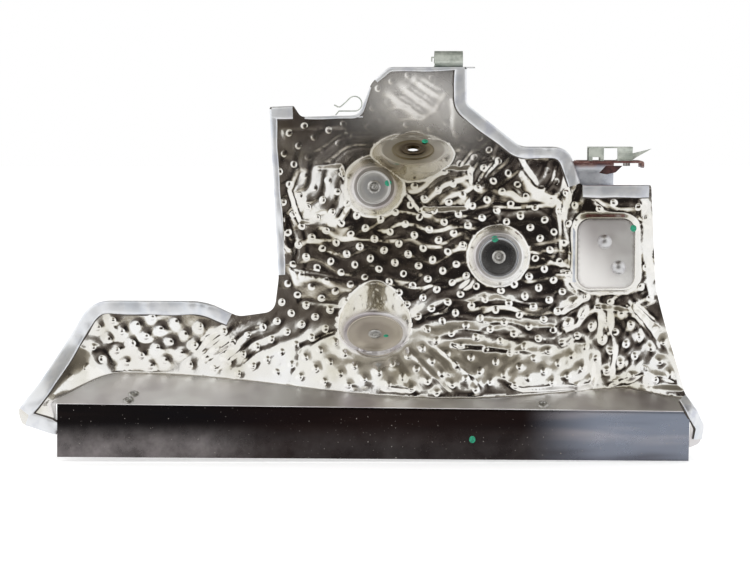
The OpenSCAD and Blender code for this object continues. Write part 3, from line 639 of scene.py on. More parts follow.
def rings_round(centres, radii, counts):
    """The centres and rings of points round each of them."""
    out = [centres]
    for radius, count in zip(radii, counts):
        for a in (np.arange(count) + 0.5 * (count % 4 == 0)) * 2 * math.pi / count:
            out.append(centres + radius * np.array((math.cos(a), math.sin(a))))
    return np.concatenate(out)


def nearest(points, centres):
    """How far each point is from the nearest dimple."""
    out = np.empty(len(points))
    for start in range(0, len(points), 2000):
        block = points[start:start + 2000]
        out[start:start + 2000] = np.hypot(block[:, None, 0] - centres[None, :, 0],
                                           block[:, None, 1] - centres[None, :, 1]).min(axis=1)
    return out


def contours():
    """Points along the edges of the bosses and the pad, so that the mesh follows their bends."""
    out = []
    for bx, bz, _, tilt, radius, *_ in BOSSES.values():
        squeeze = math.cos(math.radians(tilt))
        for off in (-0.6, 0.0, 0.6, 1.3, 2.1, 3.0, 4.0, 5.1):
            count = round(2 * math.pi * (radius + off) * math.sqrt(squeeze) / 0.9)
            a = (np.arange(count) + (off > 0) * 0.5) * 2 * math.pi / count
            out.append(np.stack([bx + (radius + off) * np.cos(a), bz + (radius + off) * squeeze * np.sin(a)], axis=1))
    for off in (-0.7, 0.0, 0.6, 1.2, 1.9, 2.8):
        w, h, r = PAD[2] + off, PAD[3] + off, PAD[4] + off
        corners = [(w, -h), (w, h), (-w, h), (-w, -h)]
        loop = []
        for k in range(4):
            a, b, c = (np.array(corners[(k + i) % 4], float) for i in (-1, 0, 1))
            u, v = (a - b) / np.linalg.norm(a - b), (c - b) / np.linalg.norm(c - b)
            middle = b + (u + v) * r
            loop += [middle - u * r * math.sin(t) - v * r * math.cos(t) for t in np.linspace(0, math.pi / 2, 9)]
        out.append(evenly([p + np.array(PAD[:2]) for p in loop], 0.9, closed=True))
    return np.concatenate(out)


def spread(ring, centres, coarse, fine, bend_limit, radii, counts):
    """A constrained triangulation of the outline: dense where the sheet bends and on its dimples."""
    grid = triangle_grid(coarse)
    dense = triangle_grid(fine)
    grid = grid[in_outline(grid, ring)]
    dense = dense[in_outline(dense, ring)]
    bent, bent_dense = (np.array(bend_at(g) >= bend_limit) | (nearest(g, centres) < 6 * (fine < 1.5))
                        for g in (grid, dense))
    points = np.concatenate([grid[~bent], dense[bent_dense]])
    clear = nearest(points, centres) > radii[-1] + 0.35 * fine
    points = np.concatenate([points[clear], rings_round(centres, radii, counts)])
    if fine < 1.5:
        curves = contours()
        apart = np.array([np.hypot(*(curves - p).T).min() for p in points])
        points = np.concatenate([points[apart > 0.55], curves])
    points = points[outline_distance(points, ring) > 0.45 * fine + 0.2]
    squeeze = math.cos(math.radians(BOSSES["d"][3]))
    hole = [(EYELET_R * math.cos(a), EYELET_R * squeeze * math.sin(a)) for a in np.arange(40) * math.pi / 20]
    points = points[np.hypot(points[:, 0], points[:, 1] / squeeze) > EYELET_R + 0.4]
    n, m = len(ring), len(hole)
    edges = [(i, (i + 1) % n) for i in range(n)] + [(n + i, n + (i + 1) % m) for i in range(m)]
    every = [Vector(p) for p in ring] + [Vector(p) for p in hole] + [Vector(p) for p in points]
    out_points, _, out_faces, source, _, _ = delaunay_2d_cdt(every, edges, [], 1, 1e-5)
    place = {s: i for i, group in enumerate(source) for s in group}
    flat = np.array([tuple(p) for p in out_points])
    faces = np.array([f for f in out_faces])
    middle = flat[faces].mean(axis=1)
    faces = faces[(np.hypot(middle[:, 0], middle[:, 1] / squeeze) > EYELET_R) & in_outline(middle, ring)]
    edge_loops = [[place[i] for i in range(n)], [place[n + i] for i in range(m)]]
    return flat, faces, edge_loops


def wound(flat, faces, left):
    """The triangles with their corners in one order, to the left or to the right as seen in the flat."""
    out = []
    for a, b, c in faces:
        p, q, r = flat[a], flat[b], flat[c]
        turn = (q[0] - p[0]) * (r[1] - p[1]) - (q[1] - p[1]) * (r[0] - p[0])
        out.append((a, b, c) if (turn > 0) == left else (a, c, b))
    return out


# Radii and point counts of the rings that the mesh lays round each dimple, on the face and on the back
FACE_RINGS = (0.9, 1.6, 2.05, 2.45, 2.8, 3.15, 3.6), (6, 10, 14, 16, 16, 16, 16)
BACK_RINGS = (1.5, 3.1), (6, 8)


def pressed_sheet():
    """The pressed sheet as one closed shell, with the places of its points in the flat for the material's
    attributes."""
    ring = evenly([p for i in range(len(OUTLINE)) for p in corner_points(i)], 1.8, closed=True)
    ring = ring[np.linalg.norm(ring - np.roll(ring, 1, axis=0), axis=1) > 0.05]
    centres = dimple_centres()
    centres = centres[in_outline(centres, ring)]
    centres = centres[outline_distance(centres, ring) > 3.4]
    front, front_faces, front_loops = spread(ring, centres, 2.5, 1.1, 0.16, *FACE_RINGS)
    back, back_faces, back_loops = spread(ring, centres, 3.4, 2.0, 0.3, *BACK_RINGS)
    fx, fz = front[:, 0], front[:, 1]
    bx, bz = back[:, 0], back[:, 1]
    front_points = np.stack([fx, -(forward(fx, fz) + dimple_lift(fx, fz, centres)), fz], axis=1)
    back_points = np.stack([bx, -(forward(bx, bz) + dimple_lift(bx, bz, centres)), bz], axis=1)
    back_points -= SHEET_T * normals(bx, bz, 0.4)
    offset = len(front)
    faces = wound(front, front_faces, True)
    faces += [tuple(i + offset for i in face) for face in wound(back, back_faces, False)]
    for loop, back_loop in zip(front_loops, back_loops):
        for k in range(len(loop)):
            a, b = loop[k], loop[(k + 1) % len(loop)]
            c, d = back_loop[(k + 1) % len(loop)] + offset, back_loop[k] + offset
            faces.append((a, b, c, d))
    flat = np.concatenate([front, back])
    return np.concatenate([front_points, back_points]), faces, flat


# Where dimples of the sheet under it show through the hem
HEM_BUMPS = [(-188, -111), (-158, -111), (-151, -111), (-231, -127), (-145, -113), (66, -3), (96, 0)]
# Across from the folded edge, and lift off the sheet's face; from 2 on, across counts from the hem's width, as 10
HEM_SECTION = [(1.0, -1.0), (0.3, -0.8), (0.0, -0.2), (0.0, 0.7), (0.25, 1.25), (0.8, 1.55), (1.7, 1.68),
               (4.5, 1.75), (7.5, 1.7), (9.2, 1.6), (9.8, 1.42), (10.0, 1.1), (9.7, 0.9), (1.9, 0.8), (1.2, 0.5),
               (1.2, -0.5)]
# A hem less wide than this is a roll, mm
ROLL_BELOW = 6
ROLLS = [(8, 9, 4.6), (11, 13, 1.5), (13, 15, 2.6)]
ROLL_LINES = [hem_path(first, last) for first, last, _ in ROLLS]
HEM_T = 1.6


def hem_run(line, width):
    """Along a hem's edge: the inward direction, the length so far and the hem's uneven width."""
    x_step, z_step = np.gradient(line[:, 0]), np.gradient(line[:, 1])
    length = np.hypot(x_step, z_step)
    inward = np.stack([z_step / length, -x_step / length], axis=1)
    run = np.concatenate([[0], np.cumsum(np.linalg.norm(np.diff(line, axis=0), axis=1))])
    return inward, run, width + 0.5 * np.sin(run / 17) + 0.25 * np.sin(run / 5.3)


def hem_shells():
    """The folded edges: a wide hem keeps its rounded sides, and a narrow roll is the same section made smaller."""
    shells = []
    for line, (_, _, width) in zip(HEM_LINES + ROLL_LINES, HEMS + ROLLS):
        inward, run, wide = hem_run(line, width)
        thick = HEM_T + 0.12 * np.sin(run / 7.1 + 1) + 0.1 * np.sin(run / 2.9)
        rings = [[] for _ in line]
        for across, lift in HEM_SECTION:
            if width < ROLL_BELOW:
                w = across * wide / 10
            else:
                w = across if across < 2 else across - 10 + wide
            q = line + inward * np.reshape(w * np.ones(len(line)), (-1, 1))
            level = np.where(lift > 0.5, lift * thick / HEM_T, lift)
            if lift > 0.9:
                level = level + sum(0.9 * mound(q[:, 0], q[:, 1], bx, bz, 3.2, 2.6) for bx, bz in HEM_BUMPS)
            p = on_sheet(q[:, 0], q[:, 1], level * np.ones(len(line)))
            for ring, point in zip(rings, p):
                ring.append(point)
        shells.append(outward(*loft([np.array(r) for r in rings])))
    return shells


def gap_shells():
    """The dark line along a hem's inner edge: painted shadow in the gap under it."""
    shells = []
    for line, (_, _, width) in zip(HEM_LINES, HEMS):
        inward, run, wide = hem_run(line, width)
        reach = 0.75 + 0.3 * np.sin(run / 8.3) + 0.2 * np.sin(run / 3.1)
        rings = [[] for _ in line]
        for across, lift in ((-1.2, 0.05), (1.0, 0.05), (0.9, 0.28), (-1.2, 0.7)):
            q = line + inward * (wide + across * np.where(across > 0, reach, 1))[:, None]
            for ring, point in zip(rings, on_sheet(q[:, 0], q[:, 1], lift * np.ones(len(line)))):
                ring.append(point)
        shells.append(outward(*loft([np.array(r) for r in rings])))
    return shells


# ---------------------------------------------------------------- places on the sheet
def boss_place(key):
    """The place of a boss's flat face, with +Z out of it."""
    bx, bz, hold, tilt = BOSSES[key][:4]
    return Matrix.Translation((bx, -hold, bz)) @ Matrix.Rotation(math.radians(90 - tilt), 4, "X")


def pad_place(x, z):
    """A place on the pad's flat face, with +Z out of it."""
    return Matrix.Translation((x, -PAD_FORWARD, z)) @ Matrix.Rotation(math.radians(90), 4, "X")


def ledge_place(along, up):
    """A place on the ledge, along the skirt and up the slope from its top edge, with +Z out of it."""
    return (Matrix.Translation((SKIRT_X, -SKIRT_FORWARD, SKIRT_Z)) @ Matrix.Rotation(SKIRT_SLOPE, 4, "Y")
            @ Matrix.Translation((along, 0, 0)) @ Matrix.Rotation(math.radians(90 - LEDGE_TILT), 4, "X")
            @ Matrix.Translation((0, up, SHEET_T)))


SKIRT_RIVETS = [(52, 12.9), (49.3, 4.8), (338.7, 6.6)]
PAD_RIVETS = [(135.9, -65.1), (145.9, -83.5)]


# ---------------------------------------------------------------- the skirt
def skirt_shell():
    """The skirt: a face that bows very slightly, a rounded bend and an upper leg under the ledge."""
    turn = math.radians(90 - LEDGE_TILT)
    bend = 2.0
    reach = bend * math.tan((math.pi / 2 - turn) / 2)
    rings = []
    for x in np.linspace(0, SKIRT_L, 150):
        deep = SKIRT_H_LEFT + (SKIRT_H_RIGHT - SKIRT_H_LEFT) * x / SKIRT_L
        bow = 0.1 * math.sin(x / 31) + 0.06 * math.sin(x / 11)
        up = np.array((math.cos(turn), math.sin(turn)))
        down = np.array((-math.sin(turn), math.cos(turn))) * SKIRT_T
        arc = [(bend + bend * math.cos(a), -reach + bend * math.sin(a))
               for a in np.linspace(math.pi, math.pi / 2 + turn, 9)]
        inner = [(bend + (bend - SKIRT_T) * math.cos(a), -reach + (bend - SKIRT_T) * math.sin(a))
                 for a in np.linspace(math.pi / 2 + turn, math.pi, 5)]
        face = [(0.25, -deep), (0.0, -deep + 0.3)]
        face += [(max(0, bow * math.sin(math.pi * s)), -deep + (deep - reach) * s) for s in np.linspace(0.1, 0.95, 9)]
        leg_end = [tuple(up * SKIRT_LEG), tuple(up * SKIRT_LEG - down)]
        section = face + arc + leg_end + inner + [(SKIRT_T, -deep + 0.3), (SKIRT_T - 0.25, -deep)]
        rings.append(np.array([(x, y, z) for y, z in section]))
    place = Matrix.Translation((SKIRT_X, -SKIRT_FORWARD, SKIRT_Z)) @ Matrix.Rotation(SKIRT_SLOPE, 4, "Y")
    return outward(*placed(loft(rings), place))


# ---------------------------------------------------------------- rivets and paint dabs, by Geometry Nodes
def add(tree, kind, inputs=None, **settings):
    """One node with its settings, its input values and its links."""
    node = tree.nodes.new(kind)
    for key, value in settings.items():
        setattr(node, key, value)
    for key, value in (inputs or {}).items():
        if isinstance(value, bpy.types.NodeSocket):
            tree.links.new(value, node.inputs[key])
        else:
            node.inputs[key].default_value = value
    return node


def stud_tree():
    """Sets one copy of a stud on each point, turned to face along the point's own direction and sized for it."""
    tree = bpy.data.node_groups.new("Studs on their seats", "GeometryNodeTree")
    for name, kind in (("Seats", "NodeSocketGeometry"), ("Stud", "NodeSocketObject"),
                       ("Finish", "NodeSocketMaterial"), ("Size", "NodeSocketFloat")):
        tree.interface.new_socket(name, in_out="INPUT", socket_type=kind)
    tree.interface.new_socket("Studs", in_out="OUTPUT", socket_type="NodeSocketGeometry")
    given = add(tree, "NodeGroupInput")
    facing = add(tree, "GeometryNodeInputNamedAttribute", {"Name": "facing"}, data_type="FLOAT_VECTOR")
    own_size = add(tree, "GeometryNodeInputNamedAttribute", {"Name": "own_size"}, data_type="FLOAT_VECTOR")
    scale = add(tree, "ShaderNodeVectorMath", {0: own_size.outputs["Attribute"], "Scale": given.outputs["Size"]},
                operation="SCALE")
    turn = add(tree, "FunctionNodeAlignRotationToVector", {"Vector": facing.outputs["Attribute"]}, axis="Z")
    stud = add(tree, "GeometryNodeObjectInfo", {"Object": given.outputs["Stud"]})
    seats = add(tree, "GeometryNodeMeshToPoints", {"Mesh": given.outputs["Seats"]})
    set_on = add(tree, "GeometryNodeInstanceOnPoints", {
        "Points": seats.outputs["Points"], "Instance": stud.outputs["Geometry"],
        "Rotation": turn.outputs["Rotation"], "Scale": scale.outputs["Vector"]})
    real = add(tree, "GeometryNodeRealizeInstances", {"Geometry": set_on.outputs["Instances"]})
    finish = add(tree, "GeometryNodeSetMaterial", {"Geometry": real.outputs["Geometry"],
                                                   "Material": given.outputs["Finish"]})
    add(tree, "NodeGroupOutput", {"Studs": finish.outputs["Geometry"]})
    return tree


STUD_TREE = stud_tree()


def studs(name, seats, profile, material, segments=40):
    """A piece of equal studs: seats are (matrix, own size) pairs, and profile is the stud's turned profile in mm."""
    stud = joined(name + "_one", [turned(profile, segments)], [material], 35)
    base = new_piece(name + "_seats", [tuple(m.translation) for m, _ in seats], [], [])
    facing = base.data.attributes.new("facing", "FLOAT_VECTOR", "POINT")
    facing.data.foreach_set("vector", [c for m, _ in seats for c in m.to_3x3() @ Vector((0, 0, 1))])
    own_size = base.data.attributes.new("own_size", "FLOAT_VECTOR", "POINT")
    own_size.data.foreach_set("vector", [c for _, s in seats for c in s])
    modifier = base.modifiers.new("Studs", "NODES")
    modifier.node_group = STUD_TREE
    given = {s.name: s.identifier for s in STUD_TREE.interface.items_tree if s.in_out == "INPUT"}
    modifier[given["Stud"]] = stud
    modifier[given["Finish"]] = material
    modifier[given["Size"]] = 1.0
    mesh = bpy.data.meshes.new_from_object(base.evaluated_get(bpy.context.evaluated_depsgraph_get()))
    for o in (stud, base):
        bpy.data.objects.remove(o)
    piece = bpy.data.objects.new(name, mesh)
    bpy.context.scene.collection.objects.link(piece)
    mesh.name = name
    return piece


# ---------------------------------------------------------------- materials
def linear(code):
    """A linear colour from an sRGB hex value."""
    parts = [int(code[i:i + 2], 16) / 255 for i in (1, 3, 5)]
    return tuple(c / 12.92 if c <= 0.04045 else ((c + 0.055) / 1.055) ** 2.4 for c in parts) + (1.0,)


def new_material(name, **settings):
    """A material with its Principled shader, constant values set on the shader's own sockets."""
    material = bpy.data.materials.new(name)
    material.use_nodes = True
    tree = material.node_tree
    shader = tree.nodes["Principled BSDF"]
    for key, value in settings.items():
        shader.inputs[key.replace("_", " ")].default_value = value
    return material, tree, shader


def cloud(tree, place, size_mm, detail, rough=0.5, stretch=(1, 1, 1)):
    """Noise on Object coordinates whose patches are about size_mm across."""
    mapping = add(tree, "ShaderNodeMapping", {"Vector": place, "Scale": stretch})
    return add(tree, "ShaderNodeTexNoise", {"Vector": mapping.outputs["Vector"], "Scale": 1000 / size_mm,
                                            "Detail": detail, "Roughness": rough}).outputs["Fac"]


def ramp(tree, factor, stops):
    """A colour ramp of (position, hex) stops."""
    node = add(tree, "ShaderNodeValToRGB", {"Fac": factor})
    node.color_ramp.interpolation = "EASE"
    while len(node.color_ramp.elements) < len(stops):
        node.color_ramp.elements.new(0.5)
    for element, (position, code) in zip(node.color_ramp.elements, stops):
        element.position = position
        element.color = linear(code)
    return node.outputs["Color"]


def mixed(tree, factor, first, second):
    """A colour mix of two colours or sockets."""
    node = add(tree, "ShaderNodeMix", data_type="RGBA")
    for socket, value in ((node.inputs[0], factor), (node.inputs[6], first), (node.inputs[7], second)):
        if isinstance(value, bpy.types.NodeSocket):
            tree.links.new(value, socket)
        else:
            socket.default_value = linear(value) if isinstance(value, str) else value
    return node.outputs[2]


def between(tree, factor, low, high):
    """The factor from 0 to 1 as a value from low to high."""
    return add(tree, "ShaderNodeMapRange", {"Value": factor, "To Min": low, "To Max": high}).outputs["Result"]


def smooth_range(tree, value, start, end, low=0.0):
    """A smooth rise to 1 while the value goes from start to end."""
    return add(tree, "ShaderNodeMapRange", {"Value": value, "From Min": start, "From Max": end, "To Min": low},
               interpolation_type="SMOOTHSTEP").outputs["Result"]


def maths(tree, operation, *values, **settings):
    """The result of a Math node."""
    return add(tree, "ShaderNodeMath", dict(enumerate(values)), operation=operation, **settings).outputs[0]


def point_value(tree, name):
    """A value that the mesh carries at its points."""
    return add(tree, "ShaderNodeAttribute", attribute_name=name).outputs["Fac"]


def connect(tree, shader, **links):
    """Links from sockets to the shader's own inputs."""
    for key, value in links.items():
        tree.links.new(value, shader.inputs[key.replace("_", " ")])


def bump(tree, height, strength, distance_mm):
    """A fine relief in the shading alone."""
    return add(tree, "ShaderNodeBump", {"Height": height, "Strength": strength,
                                        "Distance": distance_mm * MM}).outputs["Normal"]


def object_place(tree):
    """The place on the piece, in metres of the shared frame."""
    return add(tree, "ShaderNodeTexCoord").outputs["Object"]


def foil_material():
    # Stainless foil, bright rolled then embossed: a near mirror, satin where the press flattened it, heat-tinted by
    # the bolt
    material, tree, shader = new_material("bright_embossed_stainless_foil", Metallic=1.0)
    place = object_place(tree)
    satin = point_value(tree, "satin")
    warm = point_value(tree, "warm")
    stain = cloud(tree, place, 38, 3)
    fine = cloud(tree, place, 6, 2)
    base = ramp(tree, stain, [(0.3, "#FBFBFA"), (0.52, "#F3F1EC"), (0.72, "#DEDACD")])
    tinted = mixed(tree, warm, base, "#9C9278")
    gloss = cloud(tree, place, 34, 2, 0.4)
    sheen = ramp(tree, gloss, [(0.38, "#FFFFFF"), (0.52, "#E4E1E3"), (0.68, "#B3ABB2")])
    flat = mixed(tree, between(tree, satin, 0, 0.75), tinted, mixed(tree, warm, sheen, "#9C9278"))
    rough = maths(tree, "ADD", between(tree, fine, 0.06, 0.14), between(tree, satin, 0, 0.26))
    # pale paints a reflection: where it is high the foil turns paler and less metallic, as if it mirrored the white
    # table
    pale = point_value(tree, "pale")
    connect(tree, shader, Base_Color=mixed(tree, pale, flat, "#F4F2EF"), Roughness=rough,
            Metallic=between(tree, pale, 1, 0.25), Normal=bump(tree, fine, 0.25, 0.25))
    return material


def hem_material():
    # The same sheet folded over, rubbed dull by the folding tool: a pale satin that hides the room's reflections
    material, tree, shader = new_material("satin_folded_stainless_edge", Metallic=0.85)
    place = object_place(tree)
    patch = cloud(tree, place, 16, 3)
    base = ramp(tree, patch, [(0.3, "#E4E9F0"), (0.52, "#F3F5F8"), (0.72, "#D6D9E2")])
    fine = cloud(tree, place, 3, 3)
    connect(tree, shader, Base_Color=base, Roughness=between(tree, patch, 0.26, 0.5),
            Normal=bump(tree, fine, 0.15, 0.2))
    return material


def skirt_material():
    # Stainless strip, cold rolled and heat blackened: a dark mirror with dull smudges low down. Its near-black, its
    # reddish-black middle and its paler right end are also painted reflections of the room
    material, tree, shader = new_material("blackened_stainless_with_painted_reflection", Metallic=0.9)
    place = object_place(tree)
    along = add(tree, "ShaderNodeSeparateXYZ", {"Vector": place})
    smudge = cloud(tree, place, 26, 5, 0.65)
    streak = cloud(tree, place, 60, 3, 0.6, stretch=(0.25, 1, 2.2))
    speck = cloud(tree, place, 1.6, 1)
    # dark is a painted dark reflection over most of the strip, and pale is a painted lighter reflection at its right
    # end
    dark = ramp(tree, streak, [(0.35, "#0C0B10"), (0.5, "#110D0E"), (0.68, "#221917")])
    pale = ramp(tree, streak, [(0.32, "#565761"), (0.5, "#8C93A2"), (0.68, "#B4B2BA")])
    right = smooth_range(tree, along.outputs["X"], 0.075, 0.135)
    low = smooth_range(tree, along.outputs["Z"], -0.188, -0.207)
    left = smooth_range(tree, along.outputs["X"], -0.09, -0.16, low=0.18)
    low_left = maths(tree, "MULTIPLY", low, left)
    haze = maths(tree, "MULTIPLY", low_left, between(tree, smudge, -0.5, 1.8), use_clamp=True)
    # The middle is painted reddish black, the tone of the dark room it mirrors
    reddish_middle = maths(tree, "MULTIPLY_ADD", left, -0.6, 0.6)
    base = mixed(tree, right, mixed(tree, reddish_middle, dark, "#1D0E0C"), pale)
    hazed = mixed(tree, haze, base, "#8E8888")
    specks = add(tree, "ShaderNodeMapRange", {"Value": speck, "From Min": 0.72, "From Max": 0.78})
    dotted = mixed(tree, specks.outputs["Result"], hazed, "#A9A29C")
    connect(tree, shader, Base_Color=dotted, Roughness=between(tree, smudge, 0.16, 0.42))
    return material


def disc_material(name, middle, rim, radius_mm, centre_mm, rough_low, rough_high):
    """A turned or pressed disc: its tone goes from the middle to the rim, with faint rings."""
    material, tree, shader = new_material(name, Metallic=1.0)
    place = object_place(tree)
    at = tuple(c * MM for c in centre_mm)
    off = add(tree, "ShaderNodeVectorMath", {0: place, 1: at}, operation="DISTANCE")
    share = maths(tree, "DIVIDE", off.outputs["Value"], radius_mm * MM)
    patch = cloud(tree, place, 9, 4, 0.6)
    wobble = maths(tree, "MULTIPLY_ADD", patch, 0.35, share)
    tone = ramp(tree, wobble, [(0.25, middle), (0.7, middle), (1.0, rim)])
    connect(tree, shader, Base_Color=tone, Roughness=between(tree, patch, rough_low, rough_high),
            Normal=bump(tree, patch, 0.1, 0.15))
    return material


def steel_material(name, light, dark, grain_mm, rough_low, rough_high, metallic=1.0):
    """Plain pressed or drawn steel: two close tones in patches, and a roughness that follows them."""
    material, tree, shader = new_material(name, Metallic=metallic)
    place = object_place(tree)
    patch = cloud(tree, place, grain_mm, 4, 0.6)
    tone = ramp(tree, patch, [(0.32, dark), (0.62, light)])
    connect(tree, shader, Base_Color=tone, Roughness=between(tree, patch, rough_low, rough_high),
            Normal=bump(tree, patch, 0.2, 0.1))
    return material


def bracket_material():
    # Mild steel plate: scale-grey on its upright, rust red where the leaf's plating burnt off
    material, tree, shader = new_material("plated_mild_steel_with_rust", Metallic=0.75)
    place = object_place(tree)
    split = add(tree, "ShaderNodeSeparateXYZ", {"Vector": place})
    patch = cloud(tree, place, 7, 5, 0.65)
    steel = ramp(tree, patch, [(0.3, "#B9BFCB"), (0.6, "#E1E6EE")])
    rust = ramp(tree, patch, [(0.3, "#45302F"), (0.5, "#77524D"), (0.7, "#A58A82")])
    edge = maths(tree, "MULTIPLY_ADD", patch, 0.004, split.outputs["Z"])
    high = smooth_range(tree, edge, -0.0125, -0.008)
    connect(tree, shader, Base_Color=mixed(tree, high, steel, rust),
            Roughness=between(tree, high, 0.32, 0.6),
            Normal=bump(tree, patch, 0.2, 0.2))
    return material


FOIL = foil_material()
HEM = hem_material()
SKIRT = skirt_material()
# Turned or pressed discs: burnished grey, polished dark, bronzed by heat, and olive from the bolt's heat. Each shows
# faint rings, and is duller than the foil round it
DISC_A = disc_material("burnished_stainless_disc", "#B9B9B9", "#D4D3D0", 11.9, (-27.3, 5, -26.1), 0.34, 0.46)
DISC_B = disc_material("polished_black_disc", "#8A8C90", "#B4B6BA", 14.3, (60.8, 6, -75.4), 0.16, 0.28)
DISC_C = disc_material("satin_bronzed_disc", "#B3AA9E", "#C9C1B4", 19.6, (-26.6, -8, -128), 0.3, 0.45)
DISC_D = disc_material("heat_tinted_olive_ring", "#5E513E", "#9A8F78", 14.9, (0, 0, 0), 0.22, 0.4)
# Drawn wire, headed cold: small heads that catch one soft highlight and darken in their hollow
RIVET = steel_material("drawn_steel_rivet", "#C9C8C4", "#8F8D8A", 3, 0.22, 0.4)
# Steel pressed round and tumbled: a smooth satin that shades softly over the dome
DOME = steel_material("satin_steel_dome", "#D9D9DA", "#B5B3B5", 6, 0.24, 0.36)
BRACKET = bracket_material()
# The tab under the leaf: steel painted dark brown-red as the shade under the leaf, without a shine
LUG_PAINTED_SHADE = steel_material("mild_steel_lug_in_painted_shade", "#5A3B38", "#2B1B1C", 5, 0.5, 0.7, metallic=0.5)
# Spring steel with a phosphate coat: grey-green, half dull, the tone of the clips beside the bright foil
CLIP = steel_material("spring_steel_grey_green", "#D3D8CF", "#A9B1A8", 8, 0.34, 0.55, metallic=0.7)
# Painted shadow in the gap under the folded edge: a thin dull line, darker than the metal on both sides
HEM_GAP_SHADOW = new_material("painted_shadow_in_the_hem_gap", Base_Color=linear("#4A433D"), Roughness=0.7)[0]
# Paint from a marker: small flat dabs of saturated green with a slight gloss
PAINT, paint_tree, paint_shader = new_material("green_inspection_paint", Metallic=0.0, Roughness=0.45)
paint_patch = cloud(paint_tree, object_place(paint_tree), 2, 2)
connect(paint_tree, paint_shader, Base_Color=ramp(paint_tree, paint_patch,
                                                  [(0.35, "#06795C"), (0.65, "#12A880")]))


# ---------------------------------------------------------------- the pieces
def finish_piece(piece, slot_name, *nodes):
    """Rides a piece on the body and hides the nodes that it stands for; slot_name is not used."""
    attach(piece, "root")
    if nodes:
        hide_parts(*nodes)
    return piece


sheet_points, sheet_faces, flat_places = pressed_sheet()
sheet = new_piece("pressed_sheet", sheet_points, sheet_faces, [FOIL], 60)
fx, fz = flat_places[:, 0], flat_places[:, 1]
satin = np.maximum(ease(0.5, -1.5, to_pad(fx, fz)), ledge_weight(fx, fz))
for boss in BOSSES.values():
    satin = np.maximum(satin, ease(5, 0, from_boss(fx, fz, boss) - boss[4]))
satin = np.clip(satin + 0.8 * mound(fx, fz, 4, 34, 42, 28) + 0.4 * mound(fx, fz, 38, 8, 24, 24)
                + 0.4 * mound(fx, fz, -62, -5, 30, 18), 0, 1)
warm = (0.7 * mound(fx, fz, 0, -6, 30, 24) + 0.25 * mound(fx, fz, -10, 30, 50, 30)
        + 0.3 * mound(fx, fz, -20, -16, 26, 18))
# A painted reflection of the white table: the pad paler towards its lower left, and the lobe and the ledge's left end
# paler too
on_pad = ease(0.5, -1.5, to_pad(fx, fz))
pale = (on_pad * ease(14, -22, 0.8 * (fx - PAD[0]) + 0.6 * (fz - PAD[1]))
        + 0.5 * (1 - on_pad) * mound(fx, fz, 6, 36, 44, 28))
pale = pale + 0.3 * ledge_weight(fx, fz) * ease(-60, -130, fx)
for name, values in (("satin", satin), ("warm", np.clip(warm, 0, 1)), ("pale", np.clip(pale, 0, 1))):
    attribute = sheet.data.attributes.new(name, "FLOAT", "POINT")
    attribute.data.foreach_set("value", values.astype(np.float32))
finish_piece(sheet, "shield_sheet", "shield_sheet")

hems = joined("folded_hems", hem_shells(), [HEM], 45)
finish_piece(hems, "shield_sheet", "shield_sheet")
# Thin strips of painted shadow along the hems' inner edges
gap_lines = joined("hem_gap_dirt", gap_shells(), [HEM_GAP_SHADOW], 45)
finish_piece(gap_lines, "shield_sheet")

skirt = joined("skirt_strip", [skirt_shell()], [SKIRT], 30)
finish_piece(skirt, "skirt_angle", "skirt_angle")


def disc_shell(key, hole_r):
    """A pressed disc: flat in its middle, with a shallow groove and a rolled rim."""
    r = DISC_R[key]
    profile = [(hole_r, 0), (r - 0.1, 0), (r, 0.15), (r, 0.5), (r - 0.25, 0.74), (r - 0.6, DISC_T), (r - 1.0, 0.72),
               (r - 1.7, 0.5), (r - 2.6, 0.46), (0.55 * r, 0.6), (hole_r + 1.8, 0.7), (hole_r, 0.7)]
    return placed(outward(*turned(profile, 96)), boss_place(key))


for key, material in (("a", DISC_A), ("b", DISC_B), ("c", DISC_C)):
    disc = joined("boss_disc_" + key, [disc_shell(key, 2.6)], [material], 40)
    finish_piece(disc, "boss_washer_" + key, "boss_washer_" + key)

# The ring under the bolt is a stack of pressed steps, and the eyelet's barrel is rolled over on it
ring_r = DISC_R["d"]
ring_profile = [(EYELET_R, 0), (ring_r - 0.1, 0), (ring_r, 0.2), (ring_r, 0.55), (ring_r - 0.4, DISC_T),
                (ring_r - 1.2, DISC_T), (ring_r - 1.9, 0.45), (ring_r - 3.2, 0.4), (ring_r - 4.0, 0.6), (8.9, 0.68),
                (EYELET_R, 0.7)]
ring = joined("eyelet_ring", [placed(outward(*turned(ring_profile, 96)), boss_place("d"))], [DISC_D], 40)
finish_piece(ring, "eyelet_washer", "eyelet_washer")
eyelet_profile = [(4.5, -1.2), (4.9, -1.4), (7.1, -1.4), (7.5, -1.1), (7.3, -0.65), (5.3, -0.6), (5.3, DISC_T),
                  (8.2, DISC_T + 0.02), (8.5, DISC_T + 0.3), (8.3, DISC_T + 0.6), (7.6, DISC_T + 0.72),
                  (6.6, DISC_T + 0.45), (5.8, DISC_T + 0.55), (5.1, DISC_T + 0.86), (4.65, DISC_T + 0.7),
                  (4.5, DISC_T + 0.3)]
eyelet = joined("rolled_eyelet", [placed(outward(*turned(eyelet_profile, 96)), boss_place("d"))], [DISC_D], 40)
finish_piece(eyelet, "bolt_eyelet", "bolt_eyelet")


def blind_profile(seat, stack, head_d):
    """A pulled blind rivet: a rounded flat head round the stub of its mandrel, and a bulbed tail behind the stack."""
    r, head = 2.4, head_d / 2
    return [(0, seat + 0.62), (1.2, seat + 0.6), (1.55, seat + 0.4), (1.8, seat + 0.42), (2.1, seat + 1.0),
            (2.5, seat + 1.1), (head - 1.1, seat + 0.96), (head - 0.4, seat + 0.66), (head, seat + 0.3),
            (head - 0.1, seat), (r, seat), (r, -stack), (r + 0.95, -stack - 0.5), (r + 1, -stack - 1.4),
            (r + 0.8, -stack - 2.4), (r - 0.4, -stack - 3.3), (0, -stack - 3.4)][::-1]


